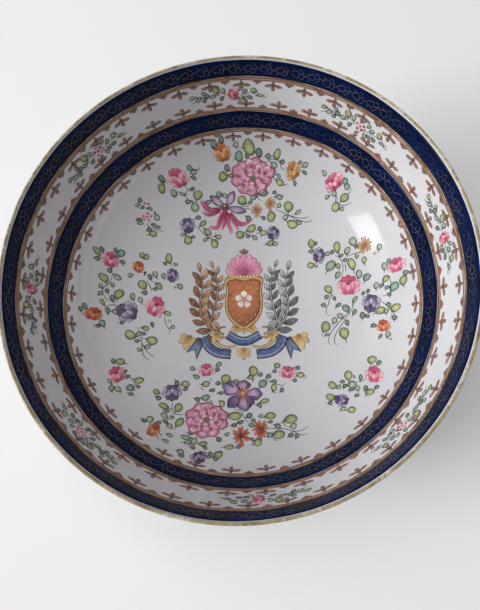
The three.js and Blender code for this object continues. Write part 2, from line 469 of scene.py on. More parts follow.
class Finishes:
    """The bowl's materials, made once from the chosen colours."""

    def __init__(self, colours):
        self.clouds, self.skin, self.rubbed = kiln_clouds_group(), glaze_skin_group(), rubbed_group()
        self.colours = colours
        self.glaze = self.make("porcelain_glaze", self.glaze_nodes, 0.16, coat=0.6)
        self.foot = self.make("foot_porcelain", self.foot_nodes, 0.3, coat=0.0)
        self.cobalt = self.make("cobalt_enamel", self.cobalt_nodes, 0.22, coat=0.04)
        self.enamel = self.make("painted_enamel", self.enamel_nodes, 0.32, coat=0.25)
        self.russet = self.make("russet_enamel", self.russet_nodes, 0.4, coat=0.1)
        self.gilt = self.make("worn_gilding", self.gilt_nodes, 0.38, coat=0.0)
        self.lip_gilt = self.make("pale_lip_gilding", self.lip_nodes, 0.38, coat=0.0)
        self.scroll_gilt = self.make("rubbed_scroll_gilding", self.scroll_nodes, 0.4, coat=0.2)

    def make(self, name, build, roughness, coat):
        made = bpy.data.materials.new(name)
        made.use_nodes = True
        tree = made.node_tree
        shader = tree.nodes["Principled BSDF"]
        shader.inputs["Roughness"].default_value = roughness
        shader.inputs["Coat Weight"].default_value = coat
        shader.inputs["Coat Roughness"].default_value = 0.04
        build(tree, shader)
        return made

    def place(self, tree, node_group, **values):
        return node(tree, "ShaderNodeGroup", {"node_tree": node_group}, **values)

    def cloudy(self, tree, colour, thick, scale, amount):
        return self.place(tree, self.clouds, Colour=colour, Thick_Colour=thick, Scale=scale, Amount=amount)

    def bump(self, tree, shader, height):
        made = node(tree, "ShaderNodeBump", Strength=1.0, Distance=1.0, Height=height)
        tree.links.new(made.outputs["Normal"], shader.inputs["Normal"])

    def grain(self, tree, shader, scale, detail, height):
        """A fine unevenness, with its height in metres."""
        self.bump(tree, shader, times(tree, noise(tree, scale, detail), height))

    def rough(self, tree, shader, factor, low, high):
        made = node(tree, "ShaderNodeMapRange", Value=factor, To_Min=low, To_Max=high)
        tree.links.new(made.outputs["Result"], shader.inputs["Roughness"])

    def glaze_nodes(self, tree, shader):
        clouds = self.cloudy(tree, self.colours.glaze, self.colours.glaze_pooled, 14.0, 0.55)
        skin = self.place(tree, self.skin, Ripple=0.00005, Pinhole=0.00004, Scale=55.0)
        distance, chance = cells(tree, 90.0)
        speck = times(tree, maths(tree, "LESS_THAN", distance, 0.045),
                      maths(tree, "GREATER_THAN", chance[1], 0.965))
        factor = plus(tree, times(tree, speck, 0.6), times(tree, skin.outputs["Pinholes"], 0.3))
        colour = mix_colour(tree, factor, clouds.outputs["Colour"], (0.16, 0.12, 0.09, 1))
        tree.links.new(colour, shader.inputs["Base Color"])
        self.rough(tree, shader, clouds.outputs["Cloud"], 0.12, 0.2)
        self.bump(tree, shader, skin.outputs["Height"])

    def foot_nodes(self, tree, shader):
        clouds = self.cloudy(tree, self.colours.glaze, self.colours.glaze_pooled, 18.0, 0.8)
        height = node(tree, "ShaderNodeSeparateXYZ",
                      Vector=object_place(tree)).outputs["Z"]
        ragged = plus(tree, height, times(tree, noise(tree, 220.0), -0.0009))
        bare = maths(tree, "SUBTRACT", 1.0, ramp(tree, ragged, 0.0003, 0.0009))
        grit = noise(tree, 900.0, 5.0, 0.7)
        clay = mix_colour(tree, grit, (0.44, 0.37, 0.28, 1), self.colours.clay)
        tree.links.new(mix_colour(tree, bare, clouds.outputs["Colour"], clay), shader.inputs["Base Color"])
        self.rough(tree, shader, bare, 0.16, 0.85)
        self.bump(tree, shader, times(tree, times(tree, grit, bare), 0.00012))

    def cobalt_nodes(self, tree, shader):
        shader.inputs["Specular IOR Level"].default_value = 0.1
        clouds = self.cloudy(tree, self.colours.cobalt, self.colours.cobalt_thick, 70.0, 0.9)
        worn = self.place(tree, self.rubbed, Scale=520.0, Wear=0.34)
        faint = times(tree, worn.outputs["Mask"], 0.35)
        colour = mix_colour(tree, faint, clouds.outputs["Colour"], (0.03, 0.05, 0.10, 1))
        tree.links.new(colour, shader.inputs["Base Color"])
        self.rough(tree, shader, worn.outputs["Mask"], 0.16, 0.38)
        skin = self.place(tree, self.skin, Ripple=0.00004, Pinhole=0.00003, Scale=140.0)
        self.bump(tree, shader, skin.outputs["Height"])

    def enamel_nodes(self, tree, shader):
        tint = node(tree, "ShaderNodeAttribute", {"attribute_name": TINT}).outputs["Color"]
        washed = mix_colour(tree, 0.22, tint, self.colours.glaze)
        clouds = self.cloudy(tree, tint, washed, 260.0, 0.7)
        tree.links.new(clouds.outputs["Colour"], shader.inputs["Base Color"])
        self.rough(tree, shader, clouds.outputs["Cloud"], 0.24, 0.42)
        self.grain(tree, shader, 900.0, 3.0, 0.00002)

    def russet_nodes(self, tree, shader):
        clouds = self.cloudy(tree, self.colours.russet, self.colours.russet_thin, 160.0, 0.8)
        tree.links.new(clouds.outputs["Colour"], shader.inputs["Base Color"])
        self.rough(tree, shader, clouds.outputs["Cloud"], 0.3, 0.5)
        self.grain(tree, shader, 700.0, 3.0, 0.00003)

    def gilt_nodes(self, tree, shader):
        tones = (self.colours.gilt, self.colours.gilt_dark, self.colours.russet_thin)
        self.gild(tree, shader, tones, (0.55, 0.05))

    def lip_nodes(self, tree, shader):
        tones = (self.colours.lip, self.colours.lip_dark, self.colours.lip_bare)
        self.gild(tree, shader, tones, (0.12, 0.05))

    def scroll_nodes(self, tree, shader):
        tones = (self.colours.scroll, self.colours.gilt, self.colours.cobalt)
        self.gild(tree, shader, tones, (0.35, 0.0), (240.0, 0.52), (90.0, 0.5), (0.34, 0.25))

    def gild(self, tree, shader, tones, metal, wear=(420.0, 0.5), cloud=(120.0, 0.9), rough=(0.3, 0.5)):
        """Gilding with dull clouds, rubbed through to what is under it; tones are bright, dull and bare."""
        worn = self.place(tree, self.rubbed, Scale=wear[0], Wear=wear[1]).outputs["Mask"]
        clouds = self.cloudy(tree, *tones[:2], *cloud)
        colour = mix_colour(tree, worn, clouds.outputs["Colour"], tones[2])
        tree.links.new(colour, shader.inputs["Base Color"])
        shine = node(tree, "ShaderNodeMapRange", Value=worn, To_Min=metal[0], To_Max=metal[1])
        tree.links.new(shine.outputs["Result"], shader.inputs["Metallic"])
        self.rough(tree, shader, worn, *rough)
        self.grain(tree, shader, 800.0, 4.0, 0.00002)


# ---- Turned pieces ---------------------------------------------------------------------------

BOWL_SEGMENTS, FOOT_SEGMENTS, BAND_SEGMENTS = 256, 192, 288
LIP_GILT = (14, 150)  # degrees round the lip, from its inner side


def lip_point(wall, angle):
    """Round the lip, from its inner side at 0 degrees over the top to its outer side at 180."""
    a = np.radians(np.asarray(angle, float))[:, None]
    return wall.lip_centre + wall.round * (np.sin(a) * wall.up_wall - np.cos(a) * wall.across_wall)


def face_points(wall, down, outside=False):
    return np.stack(wall.profile(down, outside)[:2], 1)


def build_bowl(wall, finishes):
    down = wall.length * (1 - np.linspace(0, 1, 60))
    inner = face_points(wall, down)
    outer = face_points(wall, down, outside=True)
    outer[0, 0] = inner[0, 0] = 0.0
    lip = lip_point(wall, np.linspace(0, 180, 17)[1:-1])
    loop = np.vstack([outer, lip[::-1], inner[::-1]])
    return fit(spin("bowl_glazed", loop, BOWL_SEGMENTS), finishes.glaze, "glazed_porcelain", "bowl_body")


class Foot:
    """The foot ring's sizes in millimetres, with the height at which it meets the underside."""

    def __init__(self, wall, sizes):
        self.outer, self.wall_width = sizes.foot_radius / MM, sizes.foot_ring_width / MM
        self.flare, self.taper, self.round_off = 2.5, 1.5, 1.1
        r, z = face_points(wall, np.linspace(wall.length, wall.length * 0.4, 400), True).T
        self.height = float(np.interp(self.outer - self.flare, r, z))
        self.inner_height = float(np.interp(self.outer - self.flare - self.wall_width, r, z))

    def radius(self, height):
        """The ring's outer radius at a height, along its flare."""
        return self.outer - self.flare * np.asarray(height, float) / self.height

    def swing(self, azimuth):
        """How far the ring strays from round."""
        return 0.06 * np.sin(2 * azimuth + 2) + 0.04 * np.sin(5 * azimuth) - 0.1


def build_foot(foot, finishes):
    top = foot.outer - foot.flare
    stand_in = foot.outer - foot.wall_width + foot.taper
    edge = foot.round_off
    outer_edge = arc(edge, -90, 0, (foot.outer - edge, edge), 7)
    inner_edge = arc(edge, 180, 270, (stand_in + edge, edge), 7)
    sunk = 0.8
    fillet = [[top + 0.12, foot.height - 0.6], [top, foot.height + sunk]]
    inside = [[top - foot.wall_width, foot.inner_height + sunk],
              [top - foot.wall_width - 0.1, foot.inner_height - 0.8]]
    loop = np.vstack([inner_edge, outer_edge, [[foot.radius(5.0), 5.0]], fillet, inside])

    def wander(azimuth, body):
        share = np.where(body[:, 1] < foot.height - 1, 1.0, 0.0)
        out = foot.swing(azimuth)[:, None] * share
        return np.stack([out, 0 * out], -1)

    return fit(spin("foot_ring_turned", loop, FOOT_SEGMENTS, wander), finishes.foot, "foot_porcelain", "foot_ring")


def build_band(wall, name, top, bottom, thick, finish, slot, node_name, outside, wobble, hold=0.0):
    """One band or line, following the painter's hand; hold is how far its top edge keeps to the lip."""
    rows = 9 if bottom - top > 4 else 4  # a wide band needs more rows than a line to follow the wall
    share = np.linspace(0, 1, rows)
    azimuth = np.arange(BAND_SEGMENTS) * 2 * math.pi / BAND_SEGMENTS

    def shake(seed):
        swings = ((1, 17, seed), (2, 12, 2.3 * seed), (3, 29, seed + 1.7))
        return sum(wobble / k**0.5 * np.sin(k * azimuth * w + p) for k, w, p in swings)

    upper, lower = shake(top), shake(bottom * 1.3)
    points = []
    for reach, proud in [(share, thick), (share[::-1], -0.1)]:
        for s in reach:
            edge = 1 - abs(2 * s - 1) ** 8 * 0.8
            stand = proud * edge if proud > 0 else proud
            move = drift(azimuth) * (1 - hold * s) + upper * s + lower * (1 - s)
            down = bottom + (top - bottom) * s + move
            at, up = wall.at(azimuth, np.maximum(down, 0.2), outside)
            points.append(at + up * stand)
    points = np.stack(points, 1)
    n = points.shape[1]
    faces = round_faces(BAND_SEGMENTS, n, n)
    if outside:
        faces = faces[:, ::-1]
    piece = mesh_object(name, points.reshape(-1, 3), faces.tolist())
    return fit(piece, finish, slot, node_name)


def build_lip_gilding(wall, finishes):
    """The gilt edge: worn thin on the lip's crown and full on its outer side."""
    share = np.linspace(0, 1, 12)
    over = lip_point(wall, LIP_GILT[0] + (LIP_GILT[1] - LIP_GILT[0]) * share)
    proud = 0.11 * (1 - np.abs(2 * share - 1) ** 6 * 0.7)
    out = (over - wall.lip_centre) / wall.round
    loop = np.vstack([over + out * proud[:, None], (over - out * 0.12)[::-1]])
    return fit(spin("lip_gilt_edge", loop, BAND_SEGMENTS), finishes.lip_gilt, "gilding", "lip_gilding")


def build_foot_line(foot, finishes):
    heights = np.linspace(2.7, 4.1, 4)
    outer = foot.radius(heights)
    loop = np.vstack([np.stack([outer + [0.0, 0.1, 0.1, 0.0], heights], 1),
                      np.stack([outer - 0.5, heights], 1)[::-1]])

    def wander(azimuth, body):
        rise = 0.12 * np.sin(3 * azimuth) + 0.05 * np.sin(13 * azimuth)
        return np.stack([foot.swing(azimuth)[:, None] + 0 * body[:, 0], rise[:, None] + 0 * body[:, 0]], -1)

    return fit(spin("foot_gilt_ring", loop, FOOT_SEGMENTS, wander), finishes.gilt, "gilding", "foot_gilt_line")


def lay_bands(wall, finishes, sizes):
    """Every band with the lines beside it, measured down the wall from the lip."""
    enamel, gilt = sizes.enamel / MM - 0.02, sizes.gilding / MM - 0.01
    gap, gilt_wide, russet_wide = (v / MM for v in (sizes.line_gap, sizes.gilt_line, sizes.russet_line))
    bands = (sizes.upper_band, sizes.lower_band, sizes.outer_band)
    upper, lower, outer = ([v / MM for v in band] for band in bands)

    def blue(name, band, node_name, outside=False, hold=0.0):
        build_band(wall, name, *band, enamel, finishes.cobalt, "cobalt_enamel", node_name,
                   outside, 0.05, hold)

    def line(name, top, wide, node_name, outside=False):
        golden = node_name.endswith("gilt_line")
        finish, slot = (finishes.gilt, "gilding") if golden else (finishes.russet, "russet_enamel")
        thick = gilt if golden else enamel * 0.7
        build_band(wall, name, top, top + wide, thick, finish, slot, node_name, outside, 0.07)
        return top + wide + gap

    blue("upper_blue_band", upper, "outer_blue_band", hold=1.0)
    after = line("upper_gilt_line", upper[1] + gap, gilt_wide, "upper_band_gilt_line")
    line("upper_russet_line", after, russet_wide, "upper_band_russet_line")
    before = lower[0] - gilt_wide - russet_wide - 2 * gap
    after = line("middle_russet_line", before, russet_wide, "lower_band_upper_russet_line")
    line("middle_gilt_line", after, gilt_wide, "lower_band_upper_gilt_line")
    blue("lower_blue_band", lower, "inner_blue_band")
    after = line("lower_gilt_line", lower[1] + gap, gilt_wide, "lower_band_lower_gilt_line")
    line("lower_russet_line", after, russet_wide, "lower_band_lower_russet_line")
    blue("exterior_band", outer, "exterior_blue_band", True)
    line("exterior_line_over", outer[0] - gap - gilt_wide, gilt_wide, "exterior_upper_gilt_line", True)
    line("exterior_line_under", outer[1] + gap, gilt_wide, "exterior_lower_gilt_line", True)


# ---- Flowers and leaves ----------------------------------------------------------------------

# Pale, middle and deep tones of each painter's colour.
ROSE = ((0.97, 0.78, 0.83), (0.82, 0.33, 0.47), (0.48, 0.05, 0.19))
PINK = ((0.95, 0.80, 0.87), (0.80, 0.38, 0.56), (0.46, 0.06, 0.22))
VIOLET = ((0.80, 0.76, 0.87), (0.38, 0.28, 0.49), (0.09, 0.04, 0.15))
PURPLE = ((0.72, 0.56, 0.70), (0.47, 0.24, 0.42), (0.18, 0.06, 0.16))
ORANGE = ((0.93, 0.64, 0.42), (0.76, 0.32, 0.13), (0.42, 0.11, 0.05))
TAN = ((0.90, 0.74, 0.50), (0.74, 0.48, 0.22), (0.42, 0.22, 0.09))
AMBER = ((0.93, 0.72, 0.48), (0.78, 0.44, 0.20), (0.42, 0.18, 0.08))
EMBER = ((0.86, 0.48, 0.22), (0.70, 0.23, 0.10), (0.32, 0.06, 0.03))
RUSSET = ((0.66, 0.45, 0.36), (0.44, 0.26, 0.19), (0.17, 0.08, 0.06))

# Heart, edge and outline of each leaf green.
LEAVES = {
    "L": ((0.78, 0.80, 0.62), (0.51, 0.56, 0.26), (0.10, 0.14, 0.08)),
    "G": ((0.74, 0.80, 0.70), (0.47, 0.58, 0.44), (0.09, 0.13, 0.11)),
    "D": ((0.58, 0.65, 0.58), (0.29, 0.37, 0.31), (0.07, 0.10, 0.09)),
    "T": ((0.62, 0.73, 0.67), (0.36, 0.49, 0.43), (0.07, 0.13, 0.12)),
}
STEM = (0.12, 0.16, 0.13)


def blend(first, second, share):
    return (1 - share) * np.asarray(first) + share * np.asarray(second)


def on(place, x, y, turn=0.0):
    """A smaller sheet on a sheet, moved to (x, y) and turned by degrees."""
    return lambda points: place(turned(points, turn) + (x, y))


def scaled(place, across, up):
    """A sheet whose unit circle becomes an oval of the given width and height."""
    return lambda points: place(np.asarray(points, float) * (across / 2, up / 2))


def petal(paint, place, base, tip, width, palette, lift=0.12, veins=2,
          wave=0.0, point=0.3, bend=0.0, line=0.3,
          steps=16, fade=0.6, rim=0.8):
    """A petal from its base to its tip, deeper at the base, with a drawn edge and veins."""
    pale, middle, deep = palette
    base, way = np.asarray(base, float), np.subtract(tip, base)
    reach, turn = np.hypot(*way), math.degrees(math.atan2(way[1], way[0]))
    shape = oval(reach, width, 0.7, point, bend, wave, 5, steps)
    shape = turned(shape, turn) + base
    rings = 2 if rim < 2 else 3
    paint.patch(place, shape, middle, pale, base + way * 0.3, lift, rings, rim, deep, turn + 180, fade)
    half = steps // 2
    ink = blend(middle, deep, 0.85)
    if line:
        paint.stroke(place, shape[1:half + 1], line, ink, lift + 0.05, (0.3, 0.6))
        paint.stroke(place, shape[half:], line * 0.8, ink, lift + 0.05, (0.6, 0.3))
    for k in range(veins):
        off = (k - (veins - 1) / 2) / max(veins, 1)
        t = np.linspace(0.05, 0.5 + 0.25 * paint.rng.random(), 5)
        vein = np.stack([t * reach, off * width * 0.9 * t**0.7 + bend * reach * t**2], 1)
        vein = turned(vein, turn) + base
        paint.stroke(place, vein, line * 0.7 or 0.2, ink, lift + 0.045, (0.9, 0.1), middle)


def ring_of_petals(paint, place, count, inner, outer, width, palette, start, jitter, **look):
    """Petals round the origin, none quite the same length or evenly spaced."""
    for k in range(count):
        way = polar(1.0, start + k * 360 / count + paint.rng.uniform(-jitter, jitter))
        reach = outer * paint.rng.uniform(0.86, 1.06)
        petal(paint, place, way * inner, way * reach, width, palette, **look)


def disc(paint, place, radius, inner, outer, lift, centre=(0, 0), steps=12):
    paint.patch(place, arc(radius, 0, 360, centre, steps + 1)[:-1], inner, outer, None, lift, 2)


def dot(paint, place, x, y, radius, tint, lift=0.2):
    disc(paint, place, radius, np.clip(np.asarray(tint) * 1.25, 0, 1), tint, lift, (x, y), 7)


def leaf(paint, place, length, width, tone):
    """A leaf with its middle over the sheet's origin, pointing along the first axis."""
    inner, outer, ink = LEAVES[tone]
    rng = paint.rng
    bend = rng.uniform(-0.22, 0.22)
    steps = 14 if length > 4 else 10
    half = steps // 2
    shape = oval(length, width, 0.3, 0.25, bend, 0, 3, steps) - (length / 2, bend * length / 4)
    paint.patch(place, shape, inner, outer, None, rng.uniform(0.08, 0.1), 2, 1.3, ink,
                rng.choice([100, -100]), 0.3)
    if length < 3.0:
        return
    paint.stroke(place, shape[:half + 1] * 1.05, 0.74, ink, 0.15, (0.6, 0.4))
    paint.stroke(place, np.vstack([shape[half:], shape[:1]]), 0.6, ink, 0.15, (0.4, 0.6))
    t = np.linspace(-0.34, 0.8, 7)
    vein = np.stack([t * length, bend * length * t * np.abs(t)], 1) - (length / 2, bend * length / 4)
    paint.stroke(place, vein, 0.5, ink, 0.15, (0.9, 0.15))
    if length > 5.5:
        for x in (0.25, 0.45, 0.63):
            for side in (1, -1):
                foot = np.array([x * length, bend * length * x * x])
                tip = foot + (length * 0.14, side * width * 0.27)
                rib = np.linspace(foot, tip, 3) - (length / 2, bend * length / 4)
                paint.stroke(place, rib, 0.2, ink, 0.135, (0.9, 0.2))


def cup(paint, place, palette, streak=0.36):
    """A cupped double flower seen from its side: dark back petals behind a fan of pale-edged ones."""
    pale, middle, deep = palette
    shade = (middle, blend(middle, deep, 0.5), deep)
    disc(paint, place, 0.5, middle, middle, 0.08, (0, -0.1), 12)
    for angle, reach, width, tones, lift in (
        (200, 0.95, 0.62, palette, 0.09), (-20, 0.95, 0.62, palette, 0.095), (240, 0.8, 0.6, shade, 0.1),
        (300, 0.8, 0.6, shade, 0.105), (62, 1.02, 0.6, shade, 0.11), (118, 1.02, 0.6, shade, 0.115),
        (90, 1.08, 0.62, shade, 0.12), (160, 1.0, 0.62, palette, 0.13), (20, 1.0, 0.62, palette, 0.135),
    ):
        reach *= paint.rng.uniform(0.92, 1.05)
        tip = polar(reach, angle)
        petal(paint, place, tip * 0.1, tip, width, tones, lift, 3, 0.05, point=0.2, line=streak, fade=0.85)
    disc(paint, place, 0.3, deep, deep, 0.17, (0, 0.18), 12)
    for angle, reach in ((135, 0.62), (45, 0.62), (108, 0.42), (72, 0.42)):
        tip = polar(reach, angle) + (0, 0.05)
        petal(paint, place, (0, -0.52), tip, 0.4, palette, 0.19, 2, point=0.1, line=streak, fade=0.75)
    petal(paint, place, (0, -0.6), (0, 0.3), 0.46, (pale, pale, middle), 0.22, 3, point=0.0, line=streak,
          fade=0.7)
    for x in (-0.55, 0.55):
        path = smooth_path([(x * 0.4, -0.6), (x, -0.2), (x * 1.15, 0.3)])
        paint.stroke(place, path, streak * 1.3, deep, 0.24)


def rose(paint, place, across, up, palette):
    cup(paint, on(scaled(place, across, up), 0, 0, paint.rng.uniform(-50, 50)), palette)


def violet(paint, place, across, up, palette):
    """The same cup in purple, tilted further and drawn with heavier streaks."""
    cup(paint, on(scaled(place, across, up), 0, 0, paint.rng.uniform(60, 200)), palette, 0.55)


def daisy(paint, place, across, up, palette):
    """Twelve narrow petals round a dark eye."""
    place = scaled(place, across, up)
    ring_of_petals(paint, place, 12, 0.12, 1.04, 0.27, palette, paint.rng.uniform(0, 36), 9,
                   lift=0.11, veins=1, point=0.8, line=0.45, steps=12, fade=0.95)
    disc(paint, place, 0.26, palette[2], palette[1], 0.2, steps=10)
    for k in range(6):
        dot(paint, place, *polar(0.2, 60 * k), 0.06, palette[2], 0.25)


def peony(paint, place, across, up, palette):
    """A full peony: ruffled petals in three loose tiers round a grey-green heart."""
    pale, middle, deep = palette
    place = scaled(place, across, up)
    disc(paint, place, 0.74, middle, middle, 0.08, steps=18)
    ruffle = (blend(middle, deep, 0.4), pale, deep)
    for count, inner, outer, width, start, lift in (
        (10, 0.45, 1.0, 0.56, 12, 0.105), (9, 0.3, 0.8, 0.46, 30, 0.14), (7, 0.2, 0.6, 0.42, 8, 0.175),
        (5, 0.08, 0.4, 0.34, 40, 0.21),
    ):
        ring_of_petals(paint, place, count, inner, outer, width, ruffle, start, 9, lift=lift, veins=3,
                       wave=0.08, fade=1.0, steps=18, point=-0.2, line=0.75, rim=2.4)
    dark = (pale, blend(middle, deep, 0.55), deep)
    for x, y, turn in (
        (0.62, 0.34, -40), (0.30, 0.44, 10), (0.52, -0.14, -90), (-0.5, -0.42, 140), (-0.1, 0.7, 15),
    ):
        petal(paint, on(place, x, y, turn), (0, -0.2), (0, 0.24), 0.34, dark, 0.25, 3, line=0.6, fade=0.9)
    disc(paint, place, 0.17, (0.30, 0.36, 0.30), (0.46, 0.52, 0.45), 0.27, steps=12)
    for k in range(9):
        dot(paint, place, *(polar(1.0, 40 * k) * (0.21, 0.23)), 0.03, (0.80, 0.68, 0.30), 0.3)
    for k in range(5):
        dot(paint, place, *(polar(1.0, 72 * k + 20) * (0.09, 0.1)), 0.03, (0.14, 0.18, 0.16), 0.31)


def clematis(paint, place):
    """Broad purple petals round an orange eye with long stamens, in millimetres."""
    lilac = ((0.40, 0.26, 0.48), (0.80, 0.72, 0.85), (0.14, 0.06, 0.17))
    dark = ((0.22, 0.12, 0.26), (0.50, 0.38, 0.58), lilac[2])
    place = scaled(place, 1.76, 1.76)
    for tip, width, tones in (((9.0, -8.5), 6.0, dark), ((-12.0, -10.8), 9.0, dark),
                              ((0.9, 10.8), 11.0, lilac),
                              ((-16.5, 6.8), 12.0, lilac), ((2.4, -14.0), 11.5, lilac),
                              ((15.4, -0.8), 9.6, lilac)):
        lift = 0.1 + 0.004 * abs(tip[0])
        petal(paint, place, np.multiply(tip, 0.08), tip, width, tones, lift, 6, 0.05,
              line=0.75, fade=0.4, steps=22, rim=1.7)
    for tip, width in (((-14.0, 9.5), 3.2), ((5.6, 7.8), 3.2), ((6.4, -11.5), 3.0), ((11.5, -4.0), 2.2)):
        petal(paint, place, np.multiply(tip, 0.45), tip, width, dark, 0.2, 1, line=0.3, fade=0.9)
    disc(paint, place, 2.6, (0.88, 0.66, 0.28), (0.74, 0.44, 0.18), 0.24, steps=14)
    for k in range(22):
        way = polar(1.0, k * 360 / 22 + paint.rng.uniform(-4, 4))
        reach = 5.4 + 1.2 * paint.rng.random()
        tint = (0.86, 0.60, 0.34) if k % 2 else (0.52, 0.18, 0.10)
        paint.stroke(place, np.linspace(way * 1.4, way * reach, 3), 0.5, tint, 0.27, (0.8, 0.8))
        dot(paint, place, *(way * reach), 0.42, (0.50, 0.16, 0.10), 0.28)
    for k in range(6):
        dot(paint, place, *polar(1.3, k * 60), 0.45, (0.60, 0.28, 0.12), 0.29)


def lily(paint, place):
    """A nodding purple flower with three pointed petals and long pink streamers, in millimetres."""
    pink = ((0.86, 0.52, 0.66), (0.70, 0.22, 0.42), (0.44, 0.05, 0.20))
    lilac = ((0.42, 0.24, 0.44), (0.86, 0.79, 0.87), (0.14, 0.05, 0.16))
    for tip, width, bend in (((-13.0, 6.5), 5.6, -0.1), ((8.0, 10.5), 6.0, 0.1), ((16.0, -5.2), 5.2, 0.08)):
        petal(paint, place, (0.5, 0), tip, width, lilac, 0.12, 3, point=0.7, bend=bend, line=0.75,
              fade=0.55, rim=1.8)
    for knots, wide in (
        ([(-4, -1.5), (-12, -2.5), (-17, 1), (-19.5, 4.5)], 4.4),
        ([(-4, -3), (-10, -5.5), (-15, -6), (-18, -3.5)], 3.0),
        ([(-2, -4), (-4.5, -10), (-7, -16), (-14, -15.5)], 4.2),
        ([(-0.5, -5), (-1, -12), (-3, -18)], 3.0),
        ([(1, -5), (2, -13), (5, -21)], 3.6),
        ([(3, -5), (9, -12), (14, -13.5), (21, -10.5)], 4.0),
        ([(3, -7), (7, -13), (10, -18)], 2.8),
    ):
        path = smooth_path(knots, steps=5)
        paint.stroke(place, path, wide, pink[1], 0.1, (0.6, 0.15), pink[0])
        for off in (-0.22, 0.05, 0.3):
            paint.stroke(place, path + off * wide, wide * 0.16, pink[2], 0.17, (0.9, 0.3), pink[1])
    disc(paint, place, 3.2, PURPLE[2], PURPLE[1], 0.2, (-0.5, -0.5), 12)
    disc(paint, place, 2.4, pink[2], pink[1], 0.22, (-0.5, -5.0), 10)
    dot(paint, place, -0.8, 0.6, 1.0, (0.84, 0.70, 0.34), 0.26)


def stems(paint, place, runs, width=0.62):
    for knots in runs:
        paint.stroke(place, smooth_path(knots, steps=5), width, STEM, 0.13, (0.6, 0.35), (0.2, 0.26, 0.18))


def foliage(paint, place, leaves):
    for x, y, length, width, angle, tone in leaves:
        leaf(paint, on(place, x, y, angle), length, width, tone)


# ---- Where the flowers grow ------------------------------------------------------------------

# Leaves are (x, y, length, width, angle in degrees, green), stems are runs of points, all in
# millimetres as seen from above, with X to the right and Y away from the near side.

TOP_LEAVES = [
    (-62.2, 87, 6.5, 5, 235, "L"), (-61.2, 92.5, 5, 4, 150, "D"), (-53.5, 85, 5, 5, 200, "G"),
    (-47.2, 85, 4.5, 2, 180, "G"), (-39.7, 88.7, 4.5, 2.2, 10, "D"), (-35.5, 84.8, 7, 6.5, 80, "L"),
    (-43.2, 80, 4.5, 3, 200, "D"), (-38.2, 76.3, 7, 6, 300, "G"), (-40.2, 101.8, 4.5, 3, 160, "T"),
    (-37.5, 99.5, 5, 2.5, 20, "G"), (-38, 96.3, 4, 2.5, 0, "D"), (-14.7, 117.7, 4, 3, 20, "D"),
    (-20.5, 115.7, 4.5, 4.5, 170, "T"), (-19.7, 114, 3, 2.5, 0, "T"), (-4, 115.7, 4, 3, 10, "G"),
    (-2.2, 109.7, 6, 6, 20, "T"), (-15, 98.3, 7.5, 6, 190, "L"), (-11.7, 103.3, 4.5, 4, 150, "D"),
    (-9, 98.8, 3.5, 2.5, 160, "G"), (5.7, 114.2, 9, 8, 5, "L"), (13.2, 111.2, 5.5, 4.5, -5, "D"),
    (20.2, 108.7, 4, 3, 0, "D"), (27, 108.7, 5.5, 5.5, 0, "L"), (4, 110, 3, 2.5, 150, "D"),
    (24.5, 103.5, 5.5, 3.5, -40, "G"), (31, 104.5, 3.5, 2.5, -20, "D"), (44.2, 102, 3, 2, 0, "D"),
    (48, 100, 4.5, 3, 10, "G"), (47.7, 96, 4, 1.8, -25, "D"), (40.5, 90.5, 3.5, 2, -60, "D"),
    (28, 96.7, 4, 2, -35, "T"), (28.7, 92.5, 7, 4, -35, "L"), (15.5, 86, 8.5, 4.2, 5, "D"),
    (8.2, 83.5, 5.5, 3.5, 190, "T"), (-0.7, 81.5, 7.5, 6.5, 140, "L"), (5.5, 79.7, 3.5, 2.5, 0, "D"),
    (24.7, 86, 3, 2.5, 30, "D"), (28, 82.5, 6, 3.5, 0, "G"), (-18.7, 86, 5, 4, 160, "T"),
    (-14.7, 85.2, 5, 3, -10, "G"), (-27.7, 80.2, 4.5, 3, -10, "T"), (21.7, 68.7, 8, 6.5, 290, "L"),
    (15.7, 67.7, 3.5, 2.5, -20, "D"), (3.7, 67.7, 5, 4, -40, "D"), (35.7, 74.7, 8, 7, 80, "L"),
    (28.2, 76.2, 3.5, 3, 30, "G"), (33, 67.2, 4.5, 3.5, 200, "G"), (38, 61.5, 8.5, 6.5, -35, "L"),
    (43.2, 62.5, 4.5, 2.5, -60, "G"), (42.7, 70, 5, 2.5, 20, "G"), (6, 59.5, 8, 5.5, 20, "L"),
    (12.7, 59.5, 3.5, 3, 30, "D"), (-2.7, 55.2, 7, 6, 200, "L"), (3.2, 54, 3.5, 3, 300, "D"),
    (8.5, 52.5, 5, 3, -35, "G"), (15.5, 56, 5, 4.5, 60, "L"), (21, 47.5, 7, 4, 10, "L"),
    (24.5, 47, 4.5, 3, -10, "G"), (-44, 51, 7, 6, 290, "L"), (-47.7, 55.2, 4, 2.5, 180, "G"),
    (-40, 53.5, 3.5, 2, 10, "D"), (-35.7, 68.5, 4, 3, 20, "D"), (-32.2, 64, 6.5, 3.5, 45, "L"),
    (-28.7, 57.5, 7, 4.5, -45, "L"), (-20.2, 53.5, 5, 3.5, -10, "G"), (-30, 51.7, 5, 2.5, 200, "G"),
    (-23.2, 48.5, 7.5, 5.5, 315, "L"), (-78.2, 76.2, 3.5, 2.5, 60, "D"), (-80, 72.7, 3.5, 2, 200, "G"),
    (-76.7, 72, 3, 1.5, 30, "D"), (-72, 72, 4, 2, 10, "G"), (-67.2, 66.7, 4.5, 4, 300, "G"),
    (-68.5, 69.5, 2.5, 2, 30, "D"), (-80, 63, 4, 2.5, 30, "D"), (-79.2, 61, 4, 2.5, 30, "G"),
    (-69.5, 61.2, 3, 2, 20, "D"), (-66.7, 59.5, 4, 2, 15, "D"), (-73, 57, 4, 3, 30, "D"),
    (-70.5, 54.2, 6, 4.5, 20, "L"),
]
